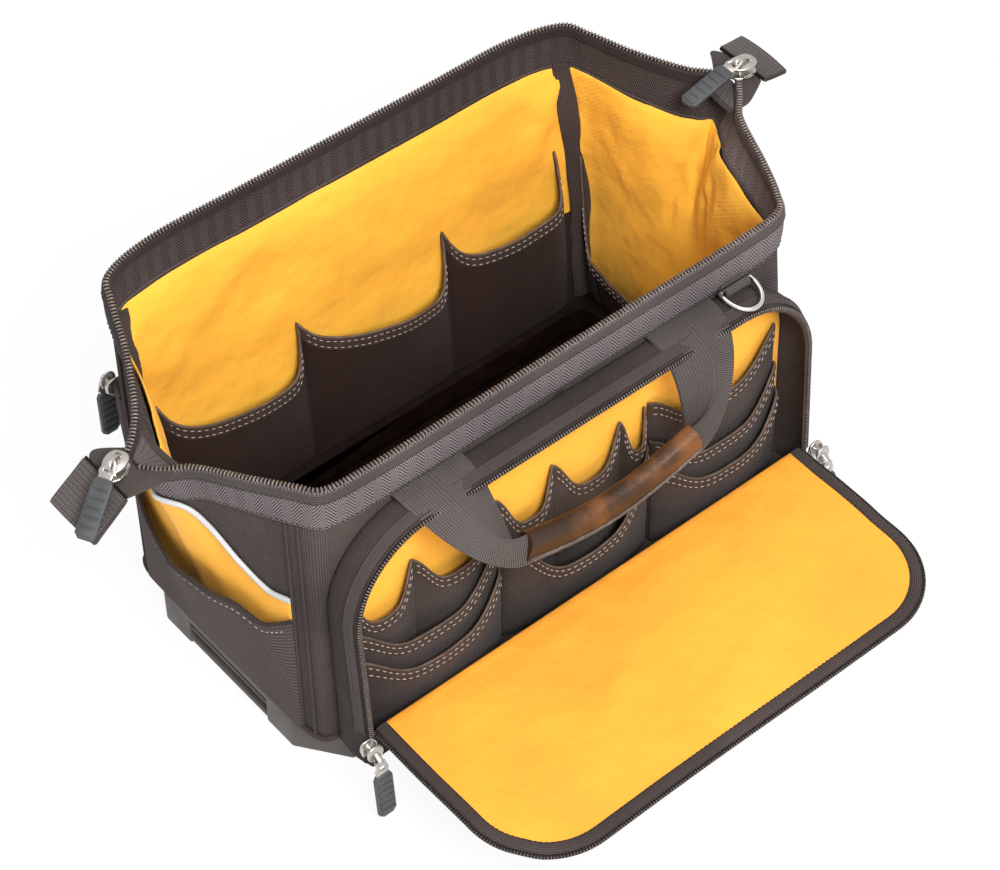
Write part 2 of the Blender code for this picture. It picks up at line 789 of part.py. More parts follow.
def end_hem(share):
    """Return the right end's inner pocket hem, high at both seams."""
    return blend(END_POCKET_HEM_LOW, END_POCKET_HEM_HIGH, abs(2 * share - 1) ** END_HEM_POWER)


def build_wall_pockets():
    """Add the outer side pockets with their backing, and the inner pockets."""
    for side, start, end in (
        ("right", FRONT_SEAM + SIDE_MARGIN, REAR_SEAM - SIDE_MARGIN),
        ("left", OUTLINE_COUNT - REAR_SEAM + SIDE_MARGIN, OUTLINE_COUNT - FRONT_SEAM - SIDE_MARGIN),
    ):
        places = spaced(start, end, 15)
        near = []
        far = []
        for row in spaced(0.0, 1.0, 5):
            tops = [side_piping((place - start) / (end - start)) for place in places]
            heights = [blend(TRAY_HEIGHT + 2 * GAP, top, row) for top in tops]
            outside = SEWN_GAP + SIDE_BACKING_THICKNESS
            near.append([wall_at_height(place, height, SEWN_GAP) for place, height in zip(places, heights)])
            far.append([wall_at_height(place, height, outside) for place, height in zip(places, heights)])
        slab(side + "_side_backing", near, far, fabric("side_backing", YELLOW))
        wall_pocket(
            side + "_side_pocket",
            (start, end),
            14,
            side_hem,
            SEWN_GAP + SIDE_BACKING_THICKNESS + GAP,
            SIDE_POCKET_THICKNESS,
            SIDE_POCKET_BULGE,
            SIDE_SWELL_POWER,
            fabric("side_pocket_cloth"),
        )
    inside = -WALL_THICKNESS - GAP - LINING_THICKNESS - SEWN_GAP
    seams = tuple(REAR_CENTRE + place for place in INNER_SEAM_PLACES)
    cloth = fabric("pouch_cloth")
    swelling = (INNER_BULGE, INNER_SWELL_POWER)
    wall_pocket("rear_inner_pocket", seams, 6, inner_hem, inside, INNER_THICKNESS, *swelling, cloth)
    seams = (FRONT_SEAM + SIDE_MARGIN, REAR_SEAM - SIDE_MARGIN)
    swelling = (END_POCKET_BULGE, END_SWELL_POWER)
    wall_pocket("end_inner_pocket", seams, 14, end_hem, inside, INNER_THICKNESS, *swelling, cloth)


def build_tray():
    """Add the moulded base tray, with corner feet and a grip slot in each end."""
    long_edge = TRAY_HALF_LENGTH - TRAY_CHAMFER_ALONG
    short_edge = TRAY_HALF_DEPTH - TRAY_CHAMFER_ACROSS
    outline = (
        (-long_edge, -TRAY_HALF_DEPTH),
        (long_edge, -TRAY_HALF_DEPTH),
        (TRAY_HALF_LENGTH, -short_edge),
        (TRAY_HALF_LENGTH, short_edge),
        (long_edge, TRAY_HALF_DEPTH),
        (-long_edge, TRAY_HALF_DEPTH),
        (-TRAY_HALF_LENGTH, short_edge),
        (-TRAY_HALF_LENGTH, -short_edge),
    )
    moulded = material("moulded_base", MOULDED, 0.5)
    tray = prism("base_tray", [(x, y, 0) for x, y in outline], Vector((0, 0, TRAY_HEIGHT)), moulded)
    tub_x = TRAY_HALF_LENGTH - TRAY_RIM_END
    tub_y = TRAY_HALF_DEPTH - TRAY_RIM_SIDE
    cut(tray, "tub", (-tub_x, -tub_y, TRAY_FLOOR), (tub_x, tub_y, TRAY_HEIGHT + OVERRUN))
    slot_half = GRIP_SLOT_HALF_WIDTH
    for side, low_x, high_x in (
        ("left", -TRAY_HALF_LENGTH - OVERRUN, -TRAY_HALF_LENGTH + GRIP_SLOT_DEPTH),
        ("right", TRAY_HALF_LENGTH - GRIP_SLOT_DEPTH, TRAY_HALF_LENGTH + OVERRUN),
    ):
        cut(tray, side + "_slot", (low_x, -slot_half, GRIP_SLOT_LOW), (high_x, slot_half, GRIP_SLOT_HIGH))
        cut(tray, side + "_notch", (low_x, -slot_half, -OVERRUN), (high_x, slot_half, FOOT_RISE))
    half_run = long_edge - FOOT_LENGTH
    for side, low_y, high_y in (
        ("front", -TRAY_HALF_DEPTH - OVERRUN, -TRAY_HALF_DEPTH + FOOT_DEPTH),
        ("rear", TRAY_HALF_DEPTH - FOOT_DEPTH, TRAY_HALF_DEPTH + OVERRUN),
    ):
        cut(tray, side + "_notch", (-half_run, low_y, -OVERRUN), (half_run, high_y, FOOT_RISE))


def build_floor():
    """Add the stiff floor board, with ribs along the bag."""
    half_x = TRAY_HALF_LENGTH - TRAY_RIM_END - 2 * GAP
    half_y = TRAY_HALF_DEPTH - TRAY_RIM_SIDE - 2 * GAP
    low = TRAY_FLOOR + GAP
    high = low + BOARD_THICKNESS
    profile = [(-half_y, low), (half_y, low), (half_y, high)]
    count = int((half_y - BOARD_RIB_WIDTH) / BOARD_RIB_SPACING)
    for step in range(count, -count - 1, -1):
        middle = step * BOARD_RIB_SPACING
        profile.append((middle + BOARD_RIB_WIDTH / 2, high))
        profile.append((middle + BOARD_RIB_WIDTH / 3, high + BOARD_RIB_HEIGHT))
        profile.append((middle - BOARD_RIB_WIDTH / 3, high + BOARD_RIB_HEIGHT))
        profile.append((middle - BOARD_RIB_WIDTH / 2, high))
    profile.append((-half_y, high))
    outline = [(-half_x, y, z) for y, z in profile]
    prism("floor_board", outline, Vector((2 * half_x, 0, 0)), material("floor_board", SOFT_BLACK, 0.7))


def facing(forward, upward):
    """Return a rotation whose X runs forward and Z upward."""
    across = upward.cross(forward)
    return Matrix((forward, across, upward)).transposed()


def slider(name, centre, forward, upward, pivot_shift):
    """Add a zip slider with two ears that hold its pull; return the pull's pivot."""
    half_length = SLIDER_LENGTH / 2
    half_width = SLIDER_WIDTH / 2
    half_height = SLIDER_HEIGHT / 2
    metal = material("zip_metal", METAL, 0.3, 1.0)
    corner = Vector((half_length, half_width, half_height))
    body = add_box(name, -corner, corner, metal)
    ear_gap = LINK_WIDTH / 2 + GAP
    ear_out = ear_gap + EAR_THICKNESS
    top = half_height + EAR_HEIGHT
    start = pivot_shift - EAR_LENGTH / 2
    profile = (
        (-ear_out, 0),
        (ear_out, 0),
        (ear_out, top),
        (ear_gap, top),
        (ear_gap, half_height - GAP),
        (-ear_gap, half_height - GAP),
        (-ear_gap, top),
        (-ear_out, top),
    )
    ears = prism(name + "_ears", [(start, y, z) for y, z in profile], Vector((EAR_LENGTH, 0, 0)), metal)
    hide_tool(ears)
    turn = facing(forward, upward).to_4x4()
    for item in (body, ears):
        item.matrix_world = Matrix.Translation(centre) @ turn
    apply_boolean(body, ears, "UNION")
    return centre + forward * pivot_shift + upward * (half_height + PIVOT_RISE)


def pull(name, pivot, direction, upward):
    """Add a ridged rubber pull on its metal link, with its origin on the pivot."""
    half_link = LINK_WIDTH / 2
    half_width = PULL_WIDTH / 2
    half_thick = PULL_THICKNESS / 2
    end = LINK_LENGTH + PULL_LENGTH
    rows = (
        (-LINK_END, half_link, LINK_THICKNESS / 2),
        (LINK_LENGTH - LINK_END, half_link, LINK_THICKNESS / 2),
        (LINK_LENGTH, half_width, half_thick),
        (end - PULL_TAPER, half_width, half_thick),
        (end, half_width - PULL_TAPER, half_thick * PULL_TIP_SHARE),
    )
    vertices = []
    for along, width, thick in rows:
        corners = ((-width, -thick), (width, -thick), (width, thick), (-width, thick))
        vertices += [(along, across, up) for across, up in corners]
    faces = [(0, 1, 2, 3), tuple(len(vertices) - 1 - index for index in range(4))]
    for ring in range(len(rows) - 1):
        for index in range(4):
            here = ring * 4 + index
            beside = ring * 4 + (index + 1) % 4
            faces.append((here, beside, beside + 4, here + 4))
    item = add_object(name, vertices, faces, material("pull_rubber", RUBBER, 0.6))
    item.matrix_world = Matrix.Translation(pivot) @ facing(direction, upward).to_4x4()
    return item


def leaning(forward, upward, drop):
    """Return a direction dropped from forward, and the one square to it."""
    direction = forward * math.cos(drop) - upward * math.sin(drop)
    square = forward * math.sin(drop) + upward * math.cos(drop)
    return direction, square


def band_at_height(place, height, distance):
    """Return a point of the mouth band at a height, moved out by a distance."""
    _, wall_top, rim = levels_at(place)
    return offset_point(place, 1.0 + (height - wall_top.z) / (rim.z - wall_top.z), distance)


def tail_place(side, step):
    """Return the place that lies a step from one tail's tip, towards the rear if positive."""
    return TAIL + step if side == "right" else OUTLINE_COUNT - TAIL - step


def build_tail(side):
    """Add the hood, webbing tab, slider and pull at one end of the mouth."""
    sign = 1 if side == "right" else -1
    tip = body_point(tail_place(side, 0), 2.0)
    hood_top = tip.z - SLIDER_HEIGHT / 2 - GAP
    edge_x = tip.x + sign * HOOD_REACH
    tab_y = tip.y + (RIGHT_TAB_SHIFT if side == "right" else LEFT_TAB_SHIFT)
    half_tab = TAB_WIDTH / 2
    front_steps = spaced(-HOOD_SPREAD_SHARE, -CHAIN_STOP_SHARE, 5)
    rear_steps = spaced(CHAIN_STOP_SHARE, HOOD_SPREAD_SHARE, 5)
    clear = BAND_THICKNESS / 2 + HOOD_CLEARANCE
    line = [band_at_height(tail_place(side, step), hood_top, clear) for step in front_steps + rear_steps]
    outline = [(point.x, point.y, hood_top) for point in line]
    outline += [(edge_x, tab_y + half_tab, hood_top), (edge_x, tab_y - half_tab, hood_top)]
    hood_cloth = fabric("hood_cloth", SOFT_BLACK)
    prism(side + "_tail_hood", outline, Vector((0, 0, -HOOD_THICKNESS)), hood_cloth)

    drop = RIGHT_TAB_DROP if side == "right" else LEFT_TAB_DROP
    length = RIGHT_TAB_LENGTH if side == "right" else LEFT_TAB_LENGTH
    outward = Vector((sign, 0, 0))
    upward = Vector((0, 0, 1))
    direction, square = leaning(outward, upward, drop)
    hood_edge = Vector((edge_x, tab_y, hood_top - HOOD_THICKNESS))
    start = hood_edge + direction * GAP + square * (HOOD_THICKNESS / 2 - TAB_STEP)
    path = [start, start + direction * length]
    sweep(side + "_tail_tab", path, flat_section(TAB_WIDTH, TAB_THICKNESS), square, fabric("webbing"), False)

    chain_end = body_point(tail_place(side, -CHAIN_STOP_SHARE), 2.0)
    skew = 0.0 if side == "right" else LEFT_PULL_SKEW
    reach = SLIDER_LENGTH / 2 * math.cos(skew) + SLIDER_WIDTH / 2 * math.sin(skew)
    centre = Vector((chain_end.x + sign * (CHAIN_RADIUS + GAP + reach), tip.y, tip.z))
    forward = Vector((sign * math.cos(skew), -math.sin(skew), 0))
    shift = PIVOT_SHIFT if side == "left" else -PIVOT_SHIFT
    pivot = slider(side + "_mouth_slider", centre, forward, upward, shift)
    heading = forward if side == "left" else -forward
    drop = LEFT_PULL_DROP if side == "left" else RIGHT_PULL_DROP
    direction, square = leaning(heading, upward, drop)
    pull(side + "_mouth_pull", pivot, direction, square)


def build_flap_sliders():
    """Add the slider and pull at each root of the arch's zip, running in front of its chain."""
    forward = arch_point(0, 0) - arch_point(0, 1)
    outward = arch_point(0, 0, -1) - arch_point(0, 0)
    ahead = 2 * (FLAP_CHAIN_RADIUS + GAP) + SLIDER_HEIGHT / 2
    for side, sign in (("left", -1), ("right", 1)):
        across = sign * (ARCH_HALF_WIDTH + FLAP_SLIDER_OUTWARD)
        centre = arch_point(across, -SLIDER_LENGTH / 4, -ahead)
        pivot = slider(side + "_flap_slider", centre, forward, outward, PIVOT_SHIFT)
        pull(side + "_flap_pull", pivot, forward, outward)


def grip_sag(across):
    """Return how far a grip hangs below its ends, at a distance from its middle."""
    return GRIP_SAG * math.cos(math.pi / 2 * across / GRIP_HALF_LENGTH)


def strap(name, root, side, sign, grip_top):
    """Add one webbing leg, from its sewn root over the edge and down to the grip's end."""
    reach_shares = (0.18, 0.42, 0.62, 0.80, 0.93, 1.0, 1.0)
    rise_shares = (0.028, 0.034, -0.02, -0.19, -0.42, -0.62, -1.0)
    fold_shares = (0.0, 0.0, 0.0, 0.0, 0.08, 0.25, 0.55, 0.85, 1.0)
    fall = root.z - grip_top
    spine = [Vector((0, root.y - side * STRAP_STUB, root.z)), Vector((0, root.y, root.z))]
    for reach, rise in zip(reach_shares, rise_shares):
        spine.append(Vector((0, root.y + side * reach * HANDLE_REACH, root.z + rise * fall)))
    outer = []
    inner = []
    for place, point in enumerate(spine):
        before = spine[max(place - 1, 0)]
        after = spine[min(place + 1, len(spine) - 1)]
        tangent = (after - before).normalized()
        normal = Vector((0, -tangent.z, tangent.y)) * side
        fold = fold_shares[place]
        half_width = blend(STRAP_WIDTH, STRAP_END_WIDTH, fold) / 2
        end_middle = GRIP_HALF_LENGTH - STRAP_END_WIDTH / 2
        middle = root.x + sign * blend(HANDLE_HALF_SPAN, end_middle, fold)
        row_outer = []
        row_inner = []
        for across in spaced(-half_width, half_width, 3):
            spot = point + Vector((middle + across, 0, 0))
            if place == len(spine) - 1:
                spot.z -= grip_sag(spot.x - root.x)
            row_outer.append(spot + normal * STRAP_THICKNESS / 2)
            row_inner.append(spot - normal * STRAP_THICKNESS / 2)
        outer.append(row_outer)
        inner.append(row_inner)
    return slab(name, outer, inner, fabric("webbing"))


def build_handle(position):
    """Add one carrying handle: two webbing legs and a wrapped grip."""
    side = -1 if position == "front" else 1
    place = 0 if position == "front" else REAR_CENTRE
    shift = FRONT_HANDLE_SHIFT if position == "front" else 0
    wall_top = levels_at(place)[1]
    height = wall_top.z - HANDLE_ROOT_DROP
    surface = max(side * body_point(place + step, 1.0).y for step in spaced(-2.0, 2.0, 17))
    root = Vector((shift, side * (surface + BAND_THICKNESS / 2 + GAP + STRAP_THICKNESS / 2), height))
    grip_y = root.y + side * HANDLE_REACH
    grip_z = root.z - HANDLE_DROP
    grip_top = grip_z + GRIP_HEIGHT / 2
    pieces = []
    for name, sign in (("left", -1), ("right", 1)):
        pieces.append(strap(position + "_handle_" + name + "_strap", root, side, sign, grip_top + 2 * GAP))
    path = []
    for across in spaced(-GRIP_HALF_LENGTH, GRIP_HALF_LENGTH, 11):
        path.append(Vector((shift + across, grip_y, grip_z - grip_sag(across))))
    quarter_shares = ((1, -0.5), (1, 0.5), (0.5, 1), (-0.5, 1))
    corner_shares = quarter_shares + tuple((-across, -up) for across, up in quarter_shares)
    section = [(across * GRIP_THICKNESS / 2, up * GRIP_HEIGHT / 2) for across, up in corner_shares]
    leather = material("grip_leather", LEATHER, 0.55)
    pieces.append(sweep(position + "_handle_grip", path, section, Vector((0, 0, 1)), leather))
    for piece in pieces:
        put_origin(piece, root)


def ring_outline():
    """Return (across, out) points of a D-ring's wire centre."""
    half = RING_WIDTH / 2 - RING_WIRE
    depth = RING_DEPTH - RING_WIRE
    points = [(-half, 0), (-half / 3, 0), (half / 3, 0), (half, 0)]
    for step in range(1, 8):
        angle = math.pi * step / 8
        points.append((half * math.cos(angle), depth * math.sin(angle) ** RING_ARC_POWER))
    return points


def build_ring(name, place, along, drop):
    """Add a D-ring and the webbing loop that holds it."""
    side = -1 if place == 0 else 1
    wall_top = levels_at(place)[1]
    surface = side * max(side * body_point(place, level).y for level in (1.0, 2.0))
    bore = RING_WIRE + 2 * GAP
    bar_y = surface + side * (BAND_THICKNESS / 2 + bore + RING_LOOP_THICKNESS + GAP)
    centre = Vector((along, bar_y, wall_top.z + RING_BAR_RISE))
    direction = Vector((0, side * math.cos(drop), -math.sin(drop)))
    path = [centre + Vector((across, 0, 0)) + direction * out for across, out in ring_outline()]
    normal = Vector((1, 0, 0)).cross(direction)
    metal = material("ring_metal", METAL, 0.25, 1.0)
    ring = ring_sweep(name + "_ring", path, round_section(RING_WIRE), normal, metal)
    put_origin(ring, centre)

    radius = bore + RING_LOOP_THICKNESS / 2
    loop_path = []
    for angle in spaced(LOOP_OPENING, 2 * math.pi - LOOP_OPENING, 13):
        turned = angle - drop - math.pi / 2
        offset = Vector((0, side * math.sin(turned + math.pi / 2), math.cos(turned + math.pi / 2)))
        loop_path.append(centre + offset * radius)
    section = flat_section(RING_LOOP_THICKNESS, RING_LOOP_WIDTH)
    sweep(name + "_ring_loop", loop_path, section, Vector((1, 0, 0)), fabric("webbing"))


def ring_sweep(name, path, section, normal, surface):
    """Carry a section round a closed flat path."""
    count = len(section)
    total = len(path)
    vertices = []
    for place, point in enumerate(path):
        tangent = (path[(place + 1) % total] - path[place - 1]).normalized()
        side = tangent.cross(normal).normalized()
        vertices += [point + side * across + normal * up for across, up in section]
    faces = []
    for ring in range(total):
        for index in range(count):
            here = ring * count + index
            beside = ring * count + (index + 1) % count
            step = ((ring + 1) % total) * count
            faces.append((here, beside, step + (index + 1) % count, step + index))
    return add_object(name, vertices, faces, surface, True)


def build_rear_pocket():
    """Add the zipped pocket on the rear wall, with a flat zip band for its slider and pull."""
    places = spaced(REAR_CENTRE - REAR_PANEL_PLACES, REAR_CENTRE + REAR_PANEL_PLACES, 13)
    outside = SEWN_GAP + REAR_PANEL_THICKNESS
    zip_low = REAR_PANEL_HIGH - REAR_ZIP_DEPTH
    zip_face = max(wall_at_height(place, REAR_PANEL_HIGH, outside).y for place in places) + REAR_PANEL_BULGE
    near = []
    far = []
    for height in (REAR_PANEL_LOW, blend(REAR_PANEL_LOW, zip_low, 0.5), zip_low, REAR_PANEL_HIGH):
        near.append([wall_at_height(place, height, SEWN_GAP) for place in places])
        row = [wall_at_height(place, height, outside) for place in places]
        swell = min(1.0, (height - REAR_PANEL_LOW) / (zip_low - REAR_PANEL_LOW))
        for point in row:
            point.y = blend(point.y, zip_face, swell)
        far.append(row)
    slab("rear_pocket_panel", near, far, fabric("rear_cloth"))
    height = REAR_PANEL_HIGH - REAR_SLIDER_INSET
    centre = Vector((-REAR_SLIDER_ALONG, zip_face + GAP + SLIDER_HEIGHT / 2, height))
    outward = Vector((0, 1, 0))
    down = Vector((0, 0, -1))
    pivot = slider("rear_pocket_slider", centre, down, outward, PIVOT_SHIFT)
    pull("rear_pocket_pull", pivot, down, outward)


def build_bag():
    """Build every piece of the bag."""
    clear_scene()
    build_tray()
    build_floor()
    build_walls()
    build_mouth(True)
    build_mouth(False)
    build_tail("left")
    build_tail("right")
    build_compartment()
    build_pouches()
    build_flap()
    build_flap_sliders()
    build_wall_pockets()
    build_handle("front")
    build_handle("rear")
    build_ring("front", 0, FRONT_RING_ALONG, FRONT_RING_DROP)
    build_ring("rear", REAR_CENTRE, REAR_RING_ALONG, REAR_RING_DROP)
    build_rear_pocket()


build_bag()
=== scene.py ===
"""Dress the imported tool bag: cloth, webbing, zips, leather grips, moulded base and a pale studio.

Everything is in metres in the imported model's frame: +Z up, +X along the bag, its front at -Y.
Each sub-assembly is a class that holds its own sizes, builds its meshes and dresses them.
"""

import json
import logging
import math
from dataclasses import dataclass
from enum import Enum
from functools import lru_cache
from itertools import accumulate
from typing import Callable, Iterable, Iterator, Sequence

import bmesh
import bpy
from mathutils import Matrix, Vector, noise

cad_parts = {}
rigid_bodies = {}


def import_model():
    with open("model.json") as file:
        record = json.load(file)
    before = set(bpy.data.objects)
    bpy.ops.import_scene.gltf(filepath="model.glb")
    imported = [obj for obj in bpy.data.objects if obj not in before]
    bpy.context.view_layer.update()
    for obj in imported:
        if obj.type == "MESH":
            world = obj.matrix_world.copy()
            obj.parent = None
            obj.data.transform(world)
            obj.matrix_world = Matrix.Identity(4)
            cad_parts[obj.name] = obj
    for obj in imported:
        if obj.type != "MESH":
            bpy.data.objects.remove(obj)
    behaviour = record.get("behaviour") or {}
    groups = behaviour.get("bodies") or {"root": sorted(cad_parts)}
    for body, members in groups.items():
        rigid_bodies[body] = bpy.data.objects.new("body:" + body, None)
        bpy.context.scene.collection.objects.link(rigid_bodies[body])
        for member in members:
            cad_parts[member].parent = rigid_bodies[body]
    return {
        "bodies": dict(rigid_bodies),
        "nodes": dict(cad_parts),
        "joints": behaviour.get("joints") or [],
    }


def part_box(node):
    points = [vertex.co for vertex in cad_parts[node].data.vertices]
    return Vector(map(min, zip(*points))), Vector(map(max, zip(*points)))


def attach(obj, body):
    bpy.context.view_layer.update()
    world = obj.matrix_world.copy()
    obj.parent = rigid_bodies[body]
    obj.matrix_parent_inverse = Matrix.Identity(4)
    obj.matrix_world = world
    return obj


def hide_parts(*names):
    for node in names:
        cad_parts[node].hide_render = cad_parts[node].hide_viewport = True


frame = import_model()

logger = logging.getLogger("tool_bag")

Colour = tuple[float, float, float]
Pair = tuple[float, float]
Grid = list[list[Vector]]
Surface = Callable[[float, float], Vector]
Spot = tuple[Vector, Matrix]
Sockets = bpy.types.bpy_prop_collection
Strand = tuple[Sequence[Vector], Sequence[Vector]]

UP = Vector((0, 0, 1))
WEAVE_MAP = "weave"
WHITE = (1.0, 1.0, 1.0, 1.0)
SHARP_ANGLE = math.radians(50.0)
FLAT_ANGLE = math.radians(1.0)
MERGE_DISTANCE = 0.00001
LEVEL_LIMIT = 1e-7


# Small shared sums

def mix(start: float, end: float, share: float) -> float:
    """Return the value a share of the way from start to end."""
    return start + (end - start) * share


def clamp(value: float, low: float = 0.0, high: float = 1.0) -> float:
    """Return the value held between two limits."""
    return max(low, min(high, value))


def ease(share: float) -> float:
    """Return a share that starts and ends gently."""
    share = clamp(share)
    return share * share * (3.0 - 2.0 * share)


def spaced(start: float, end: float, count: int) -> list[float]:
    """Return evenly spaced values, both ends included."""
    return [mix(start, end, step / (count - 1)) for step in range(count)]


def ripple(x: float, y: float, seed: float) -> float:
    """Return smooth noise between about -1 and 1, the same on each run."""
    return noise.noise(Vector((x, y, seed)))


def bezier(points: Sequence[Vector], share: float) -> Vector:
    """Return the point of a Bezier curve of any degree.

    Args:
        points: the curve's control points.
        share: how far along the curve, 0 to 1.

    Returns:
        The point.
    """
    work = [Vector(point) for point in points]
    while len(work) > 1:
        work = [first.lerp(second, share) for first, second in zip(work, work[1:])]
    return work[0]


def through(before: Vector | float, start: Vector | float, end: Vector | float, after: Vector | float,
            share: float) -> Vector | float:
    """Return the point a share of the way from start to end on a Catmull-Rom curve.

    Args:
        before: the point before start.
        start: the point at share 0.
        end: the point at share 1.
        after: the point after end.
        share: how far along the span.

    Returns:
        A point or a number, like the ones given.
    """
    point = start * 2.0 + (end - before) * share
    point = point + (before * 2.0 - start * 5.0 + end * 4.0 - after) * share ** 2
    point = point + (start * 3.0 - before - end * 3.0 + after) * share ** 3
    return point * 0.5


def around(index: int) -> tuple[int, int, int, int]:
    """Return the four indices that a Catmull-Rom span needs."""
    return index - 1, index, index + 1, index + 2


def smooth_path(points: Sequence[Vector], count: int, closed: bool = False) -> list[Vector]:
    """Return evenly spaced points of a Catmull-Rom curve through the given ones.

    Args:
        points: the points to pass through.
        count: how many points to return.
        closed: whether the curve joins its end to its start.

    Returns:
        The resampled points.
    """
    total = len(points)
    fine: list[Vector] = []
    for span in range(total if closed else total - 1):
        picks = [points[index % total if closed else int(clamp(index, 0, total - 1))]
                 for index in around(span)]
        fine += [through(*picks, share) for share in spaced(0.0, 1.0, 9)[:-1]]
    fine.append(Vector(points[0] if closed else points[-1]))
    return even_path(fine, count + 1)[:-1] if closed else even_path(fine, count)


def distances(points: Sequence[Vector]) -> list[float]:
    """Return how far along a line of points each of them lies."""
    steps = ((second - first).length for first, second in zip(points, points[1:]))
    return list(accumulate(steps, initial=0.0))


def stations(lengths: Sequence[float], targets: Iterable[float]) -> Iterator[tuple[int, float]]:
    """Find rising distances along a line.

    Args:
        lengths: how far along the line each of its points lies.
        targets: the distances to find.

    Yields:
        The segment that each distance lies on, and its share of it.
    """
    segment = 0
    for target in targets:
        while segment < len(lengths) - 2 and lengths[segment + 1] < target:
            segment += 1
        run = lengths[segment + 1] - lengths[segment]
        yield segment, clamp((target - lengths[segment]) / run if run > 0 else 0.0)


def even_path(points: Sequence[Vector], count: int) -> list[Vector]:
    """Return points at equal steps along a line of points.

    Args:
        points: the line's points in order.
        count: how many points to return.

    Returns:
        The evenly spaced points, both ends among them.
    """
    lengths = distances(points)
    targets = spaced(0.0, lengths[-1], count)
    return [points[at].lerp(points[at + 1], share) for at, share in stations(lengths, targets)]


def turned(forward: Vector, upward: Vector) -> Matrix:
    """Return a rotation whose X runs forward and whose Z is nearest to upward.

    Args:
        forward: the direction of X.
        upward: the direction that Z keeps nearest to.

    Returns:
        The rotation.
    """
    forward = forward.normalized()
    across = upward.cross(forward).normalized()
    return Matrix((forward, across, forward.cross(across))).transposed()


def powered(value: float, power: float) -> float:
    """Return a value's size raised to a power, with the value's sign."""
    return math.copysign(abs(value) ** power, value)


# Meshes

